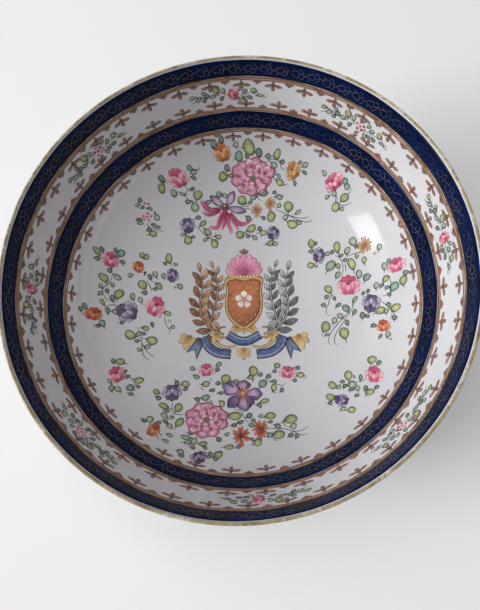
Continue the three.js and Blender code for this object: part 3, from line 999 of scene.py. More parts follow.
TOP_STEMS = [
    [(-44.7, 90.2), (-43.2, 88), (-45.2, 84.7), (-42, 80.7), (-36, 80.7)],
    [(-40, 101.5), (-37, 101.5), (-34, 101.5), (-32.8, 102.5), (-33.7, 103.3)],
    [(18, 105.5), (23.5, 107), (28.5, 105), (30.5, 101), (32, 99.7), (34, 101.7)],
    [(10, 93), (10.3, 90), (10.5, 86), (12, 82.5), (15, 80)],
    [(-4.5, 75.5), (0, 77.2), (5, 76.5)], [(-2, 73.7), (2.5, 75.5), (7, 74)],
    [(25, 74), (30, 71.5), (35, 69), (42.5, 66), (49.5, 65.5), (50.7, 67.2)],
    [(35, 69), (40.5, 65.5), (47.5, 62.5), (52, 62.5), (53, 63.7)],
    [(9.5, 55), (13, 57.5), (14.5, 58.5)],
    [(-37, 62.5), (-33, 57.5), (-29.5, 54.7), (-27, 53.2), (-23, 54.7), (-22.2, 57.5)],
    [(31, 91), (33, 90.2), (35, 91)], [(30.5, 82.5), (32, 83.8)], [(-74.5, 61.5), (-73, 58)],
    [(-72, 62.5), (-70, 58.5), (-66, 57), (-61.7, 57)],
]
TOP_FLOWERS = [
    (rose, -49, 94, 15.5, 13, ROSE), (rose, -14.5, 111, 14, 11, AMBER), (peony, 8, 96.5, 34, 25, PINK),
    (rose, 39.5, 97.5, 12, 12, TAN), (daisy, 10.5, 73.5, 9, 11, TAN), (daisy, 21, 78, 9, 10, TAN),
    (violet, -44, 63, 12, 14, VIOLET), (violet, 23.5, 56, 11, 12, VIOLET),
]
TOP_DOTS = [(-73.7, 68.5), (-76.7, 66.2), (-74.2, 66), (-71.5, 67), (-76.5, 64), (-73.2, 63.7), (-75, 75),
            (-72.5, 75)]

UPPER_RIGHT_LEAVES = [
    (62.2, 92.5, 4, 2.2, -50, "G"), (69.5, 79, 4.5, 3, 270, "G"), (64.7, 77.7, 3.5, 2.5, 200, "G"),
    (76.7, 84.2, 4.5, 3, -45, "T"), (78.2, 80.7, 5, 3, -45, "T"), (76.7, 74.2, 6, 5.5, 40, "L"),
    (70.7, 70, 7, 5.5, 270, "L"), (75.2, 67.5, 3, 2.5, 0, "G"),
]
UPPER_RIGHT_STEMS = [
    [(71, 77.5), (72, 74)], [(70.5, 73), (74, 70.5), (78, 69.5), (82, 70.2)],
    [(77, 76), (80, 76.5), (81.5, 78.5)],
]
UPPER_RIGHT_FLOWERS = [(rose, 69.5, 85.2, 14, 12, ROSE)]

LEFT_LEAVES = [
    (-107.3, 34.5, 6, 3.5, 110, "L"), (-104.4, 36.6, 4, 2.2, 100, "D"), (-93, 36.3, 6.5, 4.5, 60, "T"),
    (-96.4, 38.1, 4, 2.2, 100, "D"), (-107.6, 29.3, 3.2, 3, 0, "D"), (-91.8, 30, 3.5, 3, 90, "D"),
    (-100.3, 22.7, 4, 3, 250, "D"), (-95.5, 18.1, 6, 3.5, -40, "G"), (-103.6, 16, 7.5, 5, 110, "L"),
    (-98.2, 11.8, 3.5, 2.5, 100, "G"), (-105.5, 9.6, 3.5, 2.5, 120, "G"), (-101.5, 6.6, 3.5, 2.5, 110, "D"),
    (-105.6, 3.9, 3.5, 2.5, 60, "G"), (-97.9, 1.5, 5, 3.2, 110, "D"), (-93.9, 5.1, 8, 6, 80, "L"),
    (-84.5, 4.2, 6, 3.5, 110, "G"), (-78.5, 36.9, 4.5, 3.5, 120, "L"), (-75.5, 36, 4.5, 4, 20, "L"),
    (-86.8, 20.8, 3.5, 3, 200, "G"), (-76.2, 23.3, 3, 1.5, 70, "D"), (-58.5, 35.7, 8, 5, 115, "L"),
    (-61.3, 31.8, 3, 2.5, 120, "D"), (-53.3, 31.2, 3, 2.5, -30, "G"), (-62.4, 21.8, 4.5, 3, 120, "G"),
    (-72.4, 20.5, 5, 3, 110, "D"), (-68.5, 22.7, 5.5, 3.5, 110, "G"), (-65.8, 13.9, 6.5, 4, -30, "L"),
    (-68.5, 11.2, 3, 2.5, 0, "D"), (-77.6, 13.9, 8, 6, 120, "L"), (-76.2, 7.8, 4, 3, 0, "D"),
    (-49.7, 13.9, 5, 3.5, -30, "G"), (-53.3, 13, 2.5, 2, 0, "D"), (-103.9, -2.5, 5, 2.5, 120, "L"),
    (-100.3, -8.5, 5, 2.5, 100, "D"), (-95.8, -8.8, 4.5, 3.5, 0, "G"), (-113.3, -7.9, 5, 2.5, 110, "T"),
    (-115.2, -10.4, 3.5, 2, 90, "D"), (-102.7, -18.8, 5.5, 3.5, 120, "T"), (-105.2, -21, 3.2, 2.5, 0, "D"),
    (-78.8, 2.1, 5, 3, 110, "G"), (-58.5, -7.9, 5.5, 3.5, 0, "L"), (-57, -13.7, 2.8, 2.5, 0, "G"),
    (-54.2, -18.5, 3.5, 2.5, 20, "G"), (-69.4, -16.7, 4, 2.5, 110, "D"), (-90.6, -16.7, 3, 2.5, 0, "D"),
    (-74.2, -20, 5.5, 3.5, 0, "L"), (-75.2, -24.3, 3, 2.5, -40, "D"), (-84.2, -25.8, 8, 6.5, 170, "L"),
    (-78.8, -24.6, 5, 3, 60, "G"), (-79.4, -30, 3.5, 2.5, 200, "D"), (-69.1, -29.4, 8.5, 6, -15, "L"),
    (-71.8, -34.3, 4.5, 3, -10, "G"), (-77.3, -36.7, 3.5, 2.5, 170, "G"),
]
LEFT_STEMS = [
    [(-98.5, 20), (-99.7, 14.5), (-103.6, 9), (-104.1, 4.8), (-101.8, 0.5), (-97, -1.6)],
    [(-93.3, -3.7), (-98.2, -3.7), (-102.4, -6.1)], [(-74.8, 18.1), (-71.5, 11.5), (-71, 9.5)],
    [(-80, -19.5), (-77.3, -25.5), (-75.5, -32.2), (-71.5, -38.2), (-67.3, -41.3), (-66.4, -39.5)],
    [(-76.5, -28.5), (-74.8, -38.8), (-72.1, -43.1), (-69.1, -44.6)],
    [(-61, -10), (-59, -17), (-56, -21), (-57, -24.5)],
]
LEFT_FLOWERS = [
    (rose, -99.7, 29.6, 12, 13, ROSE), (rose, -81.2, 27.2, 9, 10, ORANGE),
    (violet, -55.5, 23.3, 10, 12, VIOLET),
    (violet, -86.7, -8, 17, 17, VIOLET), (rose, -68.2, -3.7, 15, 18, ROSE),
    (rose, -108.5, -13.1, 11, 11, ORANGE),
]

LOWER_LEFT_LEAVES = [
    (-93, -46.5, 4, 2.5, 120, "D"), (-88.5, -46.5, 6, 4.5, 160, "L"), (-84.5, -53.7, 3, 1.5, 70, "D"),
    (-82.5, -57.5, 3, 2.5, 60, "D"), (-92.5, -61.5, 4, 2.2, 120, "G"), (-90.5, -66.5, 5, 2.8, 110, "G"),
    (-86.7, -67, 5, 3, 130, "L"), (-75.2, -60, 6, 4.5, -20, "L"), (-75, -64.5, 3, 2, -50, "D"),
    (-79.7, -65.5, 5, 4.5, 150, "T"), (-78.7, -70.2, 3.5, 2, -20, "D"),
]
LOWER_LEFT_STEMS = [[(-81, -58.5), (-78, -61), (-77, -65), (-78, -68), (-75, -73)]]
LOWER_LEFT_FLOWERS = [(rose, -88.8, -57, 11, 14, ROSE)]

RIGHT_LEAVES = [
    (52.5, 45.3, 7, 4.5, 100, "L"), (55.8, 45.3, 3, 2.5, 60, "D"), (52.2, 39.3, 3.5, 3, 0, "D"),
    (51.9, 28.7, 5.5, 4.5, 200, "L"), (55.8, 27.5, 2.8, 2.5, 0, "D"), (64.3, 36.5, 4.5, 3, -10, "G"),
    (68.2, 37.5, 3, 2.5, 60, "D"), (71.6, 40.5, 9, 4.5, 100, "L"), (83.1, 42.9, 7, 5, 130, "G"),
    (85.2, 39.3, 3, 2.5, 70, "D"), (78.8, 36.8, 6, 4, 95, "G"), (74.3, 34.1, 3, 2.5, 60, "D"),
    (77, 30.2, 3, 2.5, 0, "D"), (85.5, 32, 3, 2.5, 80, "G"), (100.4, 35, 4.5, 3, 70, "G"),
    (97.3, 31.4, 2.5, 2, 60, "G"), (66.4, 26.8, 9, 6.5, 60, "G"), (72.2, 26.2, 4.5, 3, 100, "G"),
    (71.6, 19.3, 5.5, 3.5, 60, "G"), (73.3, 13.5, 3.5, 2, 70, "D"), (81.9, 26.5, 9.5, 5, 100, "L"),
    (90.4, 28.1, 5, 3, 95, "L"), (86.7, 18.1, 6.5, 4, 70, "G"), (91.6, 15, 6, 4.5, 60, "T"),
    (64.6, 8.7, 7, 5, 110, "L"), (62.7, 3.2, 3.5, 3, 200, "D"), (60.4, -3.2, 3.5, 3, 0, "D"),
    (71, -3.8, 4.5, 2.5, 50, "D"), (68.5, 1.7, 3, 2.2, 110, "D"), (76.7, -6.8, 6.5, 4.5, 110, "T"),
    (82.8, -0.7, 6, 2.5, 70, "L"), (82.2, -10.1, 4.5, 2.5, 60, "D"), (88.8, 3.5, 3, 2, 80, "D"),
    (92.2, 4.7, 3.2, 2, 80, "D"), (97.6, 7.8, 5, 3, 90, "G"), (101, 7.2, 3.5, 2.5, 60, "D"),
    (103.4, 20.5, 5.5, 3.5, 80, "G"), (105.8, 24, 3, 2, 80, "T"), (103.7, 11.4, 5.5, 3.5, 60, "L"),
    (108.5, 4.4, 7, 5, 60, "T"), (104.3, 5, 3, 2.5, 60, "D"), (105.5, -0.4, 3, 2.2, 90, "D"),
    (113.7, 7.2, 7, 4, 95, "L"), (115.2, 12.3, 3.5, 3, 90, "D"), (104.6, -7.7, 3.8, 2.5, 90, "D"),
    (99.2, -11.3, 6.5, 5, 20, "L"), (108.2, -11, 6, 5.5, 80, "L"), (102.8, -12.2, 3.8, 2.8, 90, "G"),
    (107.3, -18, 3.8, 2.8, 80, "D"), (94.3, -21.6, 3.5, 3, 30, "D"), (97.9, -30.1, 3.5, 1.8, 60, "D"),
    (102.5, -29.5, 4.2, 3, 60, "G"), (87.6, -13.2, 5, 3.5, 80, "D"), (90.7, -14, 3, 2.5, 0, "D"),
    (72.2, -12.2, 5, 3.5, 130, "G"), (67.9, -15.6, 5, 3.5, 60, "G"), (76.7, -17.7, 4, 3, 110, "D"),
    (61.3, -20.1, 8.5, 6.5, 60, "L"), (61.9, -25.9, 3.5, 2, 40, "G"), (74.3, -25.6, 9, 6.5, 100, "L"),
]
RIGHT_STEMS = [
    [(79.8, 33.2), (85.2, 34.4), (89.2, 34.4)], [(70, 35), (74.3, 30.8), (75.5, 24.7), (74.3, 15.6)],
    [(77, 28.4), (77.6, 20.5)],
    [(68.2, 5), (65.2, 2.3), (64, -2.5), (62.2, -6.2), (62.2, -9.8), (64.6, -11.6)],
    [(106, 13.2), (106.7, 7.2), (105.8, 1.1), (103.4, -0.4), (100.4, -0.7)],
    [(100.4, -4.4), (104, -9.2), (106.1, -14), (104, -20)], [(93.5, 16), (95.5, 15.6)],
    [(101.5, -31), (103.7, -33.5), (104.5, -32)],
    [(82.2, -0.1), (80.4, -8), (74.3, -13.5), (68.2, -20.1), (64, -26.2), (62.8, -31), (64.3, -34.1)],
    [(77.3, -12.2), (70.7, -21.9), (67.6, -27.4), (67.3, -32.8), (69.2, -34.4)],
]
RIGHT_FLOWERS = [
    (violet, 58.5, 36, 10, 13, VIOLET), (daisy, 90.7, 38.7, 10, 13, TAN), (rose, 78.8, 9.6, 17, 17, ROSE),
    (violet, 93.7, -3.8, 13, 15, VIOLET), (rose, 110, 18.7, 11, 11, ROSE),
    (rose, 100.4, -23.2, 9, 10, ORANGE),
]

LOWER_RIGHT_LEAVES = [
    (91, -46.8, 5.8, 5.3, 80, "L"), (94.9, -49.3, 3.8, 2.5, 60, "D"), (82.9, -58.9, 4.2, 2, 70, "T"),
    (78.6, -58.2, 2.8, 2, 60, "D"), (75, -57.1, 7, 5, 90, "L"), (76.8, -63.6, 6, 5, 20, "G"),
    (70.7, -61.4, 3, 2.2, 0, "D"), (72, -64.5, 3.5, 2.5, 60, "D"), (63.9, -63.6, 6, 5, 170, "L"),
    (68.2, -65, 3.5, 2.5, 30, "G"), (76, -67, 3.5, 2.5, 30, "D"), (80, -66.4, 4, 3, 90, "G"),
    (79, -71.4, 3, 2, 30, "D"), (85, -66.8, 4, 2.5, 60, "D"), (86.8, -69.6, 5.8, 4, 50, "L"),
    (91.3, -66.4, 3.2, 2.2, 60, "D"), (62.1, -72.1, 6, 5, 200, "L"), (61.4, -76.4, 3, 2.5, 0, "D"),
    (69.3, -80.4, 3.8, 2.5, 40, "G"), (74.3, -81.4, 5, 4, 0, "L"),
]
LOWER_RIGHT_STEMS = [[(80, -61.4), (83.6, -61.4), (86, -60)], [(79, -63), (76, -67), (74.3, -70)]]
LOWER_RIGHT_FLOWERS = [(rose, 91, -58.2, 11, 13, ROSE), (violet, 69.6, -74.6, 10, 9, VIOLET)]

BOTTOM_LEAVES = [
    (-38, -50.2, 4, 3, 160, "G"), (-35, -56.5, 5, 3, -30, "G"), (-19.5, -51, 3.5, 3, 60, "D"),
    (-18.5, -47.2, 4.5, 3, 20, "G"), (-13.2, -58.2, 7, 6.5, 60, "L"), (-27.7, -62, 6, 4, 0, "L"),
    (-18.7, -61.2, 3.5, 2.8, 170, "D"), (-22.7, -66.5, 4, 2.5, 10, "D"), (-16.5, -68.5, 4, 2, 0, "D"),
    (-42.7, -62, 6, 4.5, 20, "L"), (-48.7, -61.2, 4.5, 3, -50, "D"), (-42.2, -65.7, 3.5, 2.5, 20, "D"),
    (-62.2, -68, 5, 3.5, 160, "L"), (-60.5, -72.5, 4, 3, -40, "D"), (-56, -78, 7.5, 3.5, 155, "L"),
    (-53.7, -81.7, 4, 2, -20, "D"), (-46, -79.5, 6.5, 5.5, 60, "L"), (-54.5, -85, 6.5, 3, 145, "G"),
    (-49.5, -86, 3, 2, -30, "D"), (-44, -89.7, 7, 5, 60, "L"), (-53.5, -89, 4, 2, -20, "D"),
    (-50, -92, 5, 2.5, -25, "L"), (-57.5, -89.7, 3.5, 2, 0, "D"), (-63.2, -87.7, 4.8, 4, 100, "L"),
    (-67, -88.5, 4, 2, -30, "D"), (-49, -98.2, 4.2, 2, -15, "G"), (-50.7, -102, 4.5, 2, -25, "G"),
    (-33.2, -73.2, 4, 3, -10, "D"), (-27.5, -72, 6.5, 4, 0, "T"), (-23.5, -74.7, 2.8, 2.5, 0, "T"),
    (-35.5, -97, 4, 2.2, -15, "D"), (-38, -99.7, 7.5, 2.8, 175, "G"), (-36.7, -103, 5, 2.2, -5, "G"),
    (-32.5, -102.5, 5, 4, 30, "G"), (-26.5, -104, 6, 3, -5, "L"), (-32.7, -106.2, 3.5, 2, -10, "D"),
    (-24.5, -106.5, 3, 2, -20, "D"), (-40, -108.7, 5, 2.8, -15, "G"), (-38.7, -111.2, 3.5, 2, -15, "D"),
    (-20.7, -110, 3, 2, -10, "D"), (-21.5, -112, 4, 2, 0, "D"), (-15.5, -111, 6.5, 4.5, 10, "L"),
    (-16.7, -113.2, 4, 2.5, -20, "D"), (-16, -101, 4, 3, -40, "D"), (-15.5, -76, 4.5, 4, -40, "L"),
    (-6, -85, 10, 5.5, 0, "L"), (-6, -91.5, 4, 2.5, 10, "D"), (-10.5, -97.7, 3, 2.5, 0, "G"),
    (-1.2, -89.2, 4, 2, 10, "D"), (-8.5, -106, 6.5, 3, 5, "L"), (-2, -105.7, 3.5, 2.5, 20, "D"),
    (-5.2, -59.4, 3.5, 2, 0, "G"), (7.4, -52.5, 8, 6.5, 80, "L"), (5, -56.8, 4.5, 3, 20, "L"),
    (12.4, -54.9, 3.5, 3, 30, "D"), (14.1, -61.8, 6.5, 5.5, 60, "T"), (18.4, -56.3, 4, 3, 30, "D"),
    (22.4, -60.1, 4, 2.5, 10, "D"), (24.8, -48.4, 4.5, 4, 60, "L"), (22.9, -52.5, 3, 2.5, 30, "D"),
    (39.8, -50.3, 3.5, 2.8, 0, "D"), (41.5, -55.6, 5.5, 4, 20, "L"), (37.4, -59.4, 3, 2.5, 0, "D"),
    (22.4, -64.9, 5, 4, 60, "L"), (28.1, -66.5, 3.5, 2.8, 40, "D"), (15.3, -74.4, 7, 3, 20, "L"),
    (11.7, -77.5, 4, 2.5, -10, "D"), (4.6, -84.9, 4.5, 3.5, 30, "D"), (7.4, -88, 3, 2, 20, "D"),
    (6.2, -91.5, 3.5, 3, 0, "T"), (19.3, -84.9, 8, 4.5, 15, "L"), (12.9, -85.1, 3, 2.5, 0, "G"),
    (19.6, -89.1, 3.5, 1.8, 0, "D"), (-2, -89.6, 3.5, 2.5, 20, "G"), (7, -101, 3, 2, -20, "D"),
    (10.8, -103, 6, 4.8, 20, "L"), (25, -97.7, 9, 5.5, 20, "L"), (19.3, -98, 4.5, 3, 20, "T"),
    (24.6, -92, 4.5, 3.5, -20, "D"), (35.5, -92.2, 4.5, 3.8, 0, "G"), (33.6, -87.2, 9.5, 5.8, 25, "L"),
    (33.6, -98, 4, 2.8, 30, "D"), (37.7, -98.4, 3.5, 2.8, 60, "D"),
]
BOTTOM_STEMS = [
    [(-24.5, -57.5), (-23.5, -59.5)], [(-30.5, -63.5), (-30.5, -65.5), (-28.5, -66.5)],
    [(-50, -75.5), (-50.5, -80), (-48, -83.7), (-41, -84)], [(-52, -89.5), (-52, -94.5)],
    [(6.5, -60.6), (7.4, -58.7), (9, -57.8)],
    [(16, -58.2), (20.3, -60.1), (24, -62), (28.9, -63), (31.2, -60.6)],
    [(43.5, -56), (45, -56.3), (45.5, -58.9)], [(21.2, -66.8), (22.5, -68.3), (24, -68.7)],
    [(-6.4, -80.1), (-1.6, -81.5), (0.3, -84.9), (3.1, -88.7), (6.5, -92)],
    [(17.4, -93.9), (26.5, -93.4), (33.6, -94.9), (39.3, -97.2), (42.7, -97.7), (45.5, -97)],
    [(33.6, -94.9), (38.4, -95.3), (42.7, -93.9), (45.5, -91.8)],
    [(28.4, -87.7), (29, -90.5), (31.5, -92.5)], [(21.2, -100.1), (23, -101.3), (25.5, -101.5)],
    [(-57, -95.5), (-53, -99.5)], [(-58, -97), (-54.5, -101.5)],
]
BOTTOM_FLOWERS = [
    (rose, -27.7, -52, 12, 10.5, ROSE), (rose, 32.2, -53.9, 13, 10, ROSE), (peony, -25.5, -88, 31, 25, PINK),
    (daisy, -0.7, -98.7, 13, 14, EMBER), (daisy, 12.7, -93.9, 12, 14, EMBER),
    (violet, -51.5, -67.5, 14.5, 13, VIOLET), (violet, -27.7, -111.9, 11, 8.5, VIOLET),
    (rose, -60, -95.2, 9, 10, ORANGE),
]


def spray(wall, leaves, runs, flowers, seed, dots=()):
    """One group of flowers with its leaves and stems, painted on the inner face."""
    paint = Paint(seed)
    stems(paint, wall.plan, runs)
    foliage(paint, wall.plan, leaves)
    for draw, x, y, across, up, palette in flowers:
        draw(paint, on(wall.plan, x, y), across, up, palette)
    for x, y in dots:
        dot(paint, wall.plan, x, y, 1.05, ROSE[1], 0.12)
        dot(paint, wall.plan, x, y, 0.4, ROSE[2], 0.17)
    return paint


def paint_sprays(wall, finishes):
    made = {
        "top_spray": spray(wall, TOP_LEAVES, TOP_STEMS, TOP_FLOWERS, 21, TOP_DOTS),
        "left_spray": spray(wall, LEFT_LEAVES, LEFT_STEMS, LEFT_FLOWERS, 22),
        "right_spray": spray(wall, RIGHT_LEAVES, RIGHT_STEMS, RIGHT_FLOWERS, 23),
        "bottom_spray": spray(wall, BOTTOM_LEAVES, BOTTOM_STEMS, BOTTOM_FLOWERS, 24),
        "upper_right_sprig": spray(wall, UPPER_RIGHT_LEAVES, UPPER_RIGHT_STEMS, UPPER_RIGHT_FLOWERS, 25),
        "lower_left_sprig": spray(wall, LOWER_LEFT_LEAVES, LOWER_LEFT_STEMS, LOWER_LEFT_FLOWERS, 26),
        "lower_right_sprig": spray(wall, LOWER_RIGHT_LEAVES, LOWER_RIGHT_STEMS, LOWER_RIGHT_FLOWERS, 27),
    }
    lily(made["top_spray"], on(wall.plan, -14, 77))
    clematis(made["bottom_spray"], on(wall.plan, -0.2, -68.7))
    for name, paint in made.items():
        fit(paint.finish(name), finishes.enamel, "painted_enamels")


# ---- Borders: shapes repeated round the bowl -------------------------------------------------


def ring_tree():
    """A geometry tree that repeats a shape round Z, following the painter's wander down the wall."""
    tree = bpy.data.node_groups.new("ring_of_copies", "GeometryNodeTree")
    tree.is_modifier = True
    for label, kind, value in (
        ("Shape", "NodeSocketGeometry", None), ("Copies", "NodeSocketInt", 36), ("Phase", FLOAT, 0.0),
        ("Unevenness", FLOAT, 0.002), ("Down", "NodeSocketVector", None), ("Seed", "NodeSocketInt", SEED),
        ("Finish", "NodeSocketMaterial", None),
    ):
        socket = tree.interface.new_socket(label, in_out="INPUT", socket_type=kind)
        if value is not None:
            socket.default_value = value
    tree.interface.new_socket("Ring", in_out="OUTPUT", socket_type="NodeSocketGeometry")
    source = tree.nodes.new("NodeGroupInput").outputs
    index = tree.nodes.new("GeometryNodeInputIndex").outputs[0]
    share = maths(tree, "DIVIDE", index, source["Copies"])
    even = plus(tree, times(tree, share, 2 * math.pi), source["Phase"])
    uneven = node(tree, "FunctionNodeRandomValue", {"data_type": "FLOAT"}, i2=-1.0, i3=1.0, ID=index,
                  Seed=source["Seed"]).outputs[1]
    azimuth = plus(tree, even, times(tree, uneven, source["Unevenness"]))
    turn = node(tree, "ShaderNodeCombineXYZ", Z=azimuth).outputs[0]
    rotation = node(tree, "FunctionNodeEulerToRotation", Euler=turn).outputs[0]
    once = maths(tree, "COSINE", maths(tree, "SUBTRACT", azimuth, ONCE_START))
    thrice = maths(tree, "SINE", plus(tree, times(tree, azimuth, 3.0), THRICE_START))
    wander = plus(tree, times(tree, once, ONCE_ROUND), times(tree, thrice, THRICE_ROUND))
    shake = node(tree, "FunctionNodeRandomValue", {"data_type": "FLOAT"}, i2=-0.12, i3=0.12, ID=index,
                 Seed=plus(tree, source["Seed"], 5)).outputs[1]
    move = node(tree, "ShaderNodeVectorMath", {"operation": "SCALE"}, i0=source["Down"],
                Scale=plus(tree, wander, shake)).outputs[0]
    points = node(tree, "GeometryNodePoints", Count=source["Copies"]).outputs[0]
    copies = node(tree, "GeometryNodeInstanceOnPoints", Points=points, Instance=source["Shape"],
                  Rotation=rotation).outputs[0]
    moved = node(tree, "GeometryNodeTranslateInstances", Instances=copies, Translation=move).outputs[0]
    real = node(tree, "GeometryNodeRealizeInstances", Geometry=moved).outputs[0]
    finished = node(tree, "GeometryNodeSetMaterial", Geometry=real, Material=source["Finish"]).outputs[0]
    tree.links.new(finished, tree.nodes.new("NodeGroupOutput").inputs[0])
    return tree


def ring(wall, tree, name, paint, copies, down, finish, slot, phase=0.0, uneven=0.002, outside=False):
    """Repeats one painted shape round the bowl and keeps the result as a plain mesh."""
    shape = paint.finish(name + "_shape")
    modifier = shape.modifiers.new("ring", "NODES")
    modifier.node_group = tree
    r, z = wall.profile([down, down + 1.0], outside)[:2]
    values = {
        "Copies": copies, "Phase": math.radians(phase), "Unevenness": uneven, "Seed": SEED + copies,
        "Down": ((r[1] - r[0]) * MM, 0.0, (z[1] - z[0]) * MM), "Finish": finish,
    }
    for item in tree.interface.items_tree:
        if item.item_type == "SOCKET" and item.in_out == "INPUT" and item.name in values:
            modifier[item.identifier] = values[item.name]
    graph = bpy.context.evaluated_depsgraph_get()
    result = shape.evaluated_get(graph)
    data = bpy.data.meshes.new_from_object(result, preserve_all_data_layers=True, depsgraph=graph)
    bpy.data.objects.remove(shape)
    data.name = name
    piece = bpy.data.objects.new(name, data)
    bpy.context.scene.collection.objects.link(piece)
    return fit(piece, finish, slot)


def fleuron(paint, place, pitch, wide, tall, way):
    """A little lily-flower hanging from a line, with a half rosette beside it; way is 1 up or -1 down."""

    def leaflet(base, tip, width, bend=0.0):
        petal(paint, place, np.multiply(base, (1, way)), np.multiply(tip, (1, way)), width, RUSSET, 0.12, 0,
              bend=bend * way, point=0.6, line=0.48, steps=12, fade=0.45)

    waist = 0.34 * tall
    leaflet((0, -0.2), (0, waist + 0.8), 1.9)
    leaflet((0.2, waist - 0.2), (wide / 2, 0.72 * tall), 2.1, -0.22)
    leaflet((-0.2, waist - 0.2), (-wide / 2, 0.72 * tall), 2.1, 0.22)
    leaflet((0, waist - 0.3), (0, tall), 2.5)
    collar = np.multiply([(-1.5, waist - 0.5), (0, waist - 0.1), (1.5, waist - 0.5)], (1, way))
    paint.stroke(place, collar, 0.6, RUSSET[2], 0.22)
    side = pitch / 2
    for x, y in ((-2.6, 1.2), (2.6, 1.2), (0, 2.7)):
        leaflet((side + x * 0.3, -0.2), (side + x, y), 1.9)


def scroll(paint, place, pitch, tall):
    """Two links of a running vine, one the other way up: a stalk, a pointed loop and loose curls."""
    ink = (0.5, 0.5, 0.5)
    for shift, flip, plump in ((-0.5, 0.5, 0.62), (0.5, -0.5, 0.84)):
        def line(knots, wide, ends):
            path = smooth_path(knots, steps=3) * (pitch, flip * tall) + (shift * pitch, 0)
            paint.stroke(place, path, wide, ink, 0.1, (ends, ends))

        line([(-0.5, 0), (-0.36, 0.24), (-0.2, -0.14), (-0.04, 0)], 0.4, 0.8)
        loop = [(-0.04, 0), (0.04, plump), (0.22, 0.9 * plump), (0.5, 0), (0.24, -0.5), (0.04, -0.5)]
        line([*loop, loop[0]], 0.38, 0.9)
        line([(-0.32, 0.1), (-0.28, plump), (-0.16, 1.0), (-0.1, 0.6)], 0.34, 0.6)
        line([(-0.34, -0.1), (-0.24, -0.5), (-0.12, -0.95), (0.02, -0.9)], 0.34, 0.6)
        line([(0.36, -0.25), (0.3, -0.75), (0.44, -0.95)], 0.3, 0.5)


def paint_rings(wall, finishes, sizes):
    """The russet fleurons along the lines and the gilt scrolls in the blue bands."""
    tree = ring_tree()
    enamel = sizes.enamel / MM

    def fleurons(name, copies, down, wide, tall, way, phase, outside=False):
        paint = Paint(3)
        radius = float(wall.profile(down, outside)[0])
        fleuron(paint, wall.strip(0.0, down, outside), 2 * math.pi * radius / copies, wide, tall, way)
        ring(wall, tree, name, paint, copies, down, finishes.enamel, "russet_enamel", phase, 0.0022, outside)

    def scrolls(name, copies, band, outside=False):
        paint = Paint(4)
        down = sum(band) / 2 / MM
        radius = float(wall.profile(down, outside)[0])
        base = wall.strip(0.0, down, outside)

        def raised(points):
            at, up = base(points)
            return at + up * (enamel - 0.04), up

        scroll(paint, raised, math.pi * radius / copies, (band[1] - band[0]) / MM * 0.6)
        ring(wall, tree, name, paint, copies, down, finishes.scroll_gilt, "gilding", 0.0, 0.0, outside)

    # Copies, distance down the wall, width, height, up (1) or down (-1), and the first one's angle.
    fleurons("upper_fleurons", 39, 16.1, 11.0, 7.2, -1, 5.5)
    fleurons("middle_fleurons", 36, 37.3, 11.0, 6.6, 1, 7.5)
    fleurons("lower_fleurons", 33, 57.2, 11.5, 7.0, -1, 5.5)
    fleurons("exterior_fleurons", 39, 18.9, 10.0, 6.4, -1, 3.0, True)
    scrolls("upper_scroll", 41, sizes.upper_band)
    scrolls("lower_scroll", 35, sizes.lower_band)
    scrolls("exterior_scroll", 39, sizes.outer_band, True)


# ---- Small sprigs in the white border --------------------------------------------------------

# Along the border and up the wall from each sprig's flower, in millimetres.
SPRIG_LEAVES = [
    (-19, -1, 4, 2.2, 160, "G"), (-15, 2.5, 4.6, 3.4, 30, "L"), (-12, -2.8, 4.2, 2.6, 200, "D"),
    (-8.8, 1.8, 4, 2.8, 140, "T"), (-8, -3.4, 3.2, 2.2, 220, "D"), (-5.6, 3.9, 3.4, 2.4, 120, "G"),
    (-5.2, -4.4, 4, 2.6, 235, "L"), (6.4, 3.2, 4, 3, 60, "G"), (7.6, -2.8, 3.8, 2.6, -40, "D"),
    (11, 4.0, 6, 4.4, 75, "L"), (13.5, -0.4, 4.2, 3, 0, "G"), (18, 0.6, 4.2, 3.6, 30, "D"),
    (19.8, 3.0, 3.4, 2.6, 60, "T"), (20, -2.4, 3.4, 2.6, -50, "D"), (23.8, -1, 4.6, 2.6, -20, "G"),
    (28, 1.4, 4.4, 2.6, 10, "L"),
]
SPRIG_STEMS = [
    [(-22.5, 0.5), (-20.5, -2), (-14, 0.5), (-7, -1), (-3, 0)], [(-20.5, -2), (-23, -2.6), (-24, -0.6)],
    [(3, 0), (10, 1.2), (17, -0.8), (24, 1.6), (30.5, 0)], [(24, 1.6), (27, -2), (30, -2.8)],
]
SPRIG_DOWN, SPRAY_DOWN = 26.6, 62.0  # mm down the wall, inside and outside
ROSE_SPRIGS = (10.5, 91.5, 182.5, 276.0)  # degrees round the border at which a sprig has a rose
BERRIES = [(-2.3, 1.6), (0.4, 3.6), (2.8, 1.4), (-1.6, -1.8), (1.6, -2.2), (0.2, 0.4), (-3.6, -0.4),
           (0, -4.4)]


def border_sprig(paint, place, flower):
    """A small sprig round a rose or a bunch of berries."""
    stems(paint, place, SPRIG_STEMS, 0.5)
    foliage(paint, place, SPRIG_LEAVES)
    if flower == "rose":
        rose(paint, on(place, 0, 0, 90), 11, 8, ROSE)
        return
    for x, y in BERRIES:
        berry = ROSE[1] if paint.rng.random() < 0.7 else ROSE[2]
        dot(paint, place, x, y, 1.15, berry, 0.12)
        dot(paint, place, x + 0.2, y + 0.2, 0.4, ROSE[2], 0.17)
    leaf(paint, on(place, -1, 6.2, 80), 3.6, 2.4, "T")
    leaf(paint, on(place, 1, -6.8, 260), 3.4, 2.4, "T")


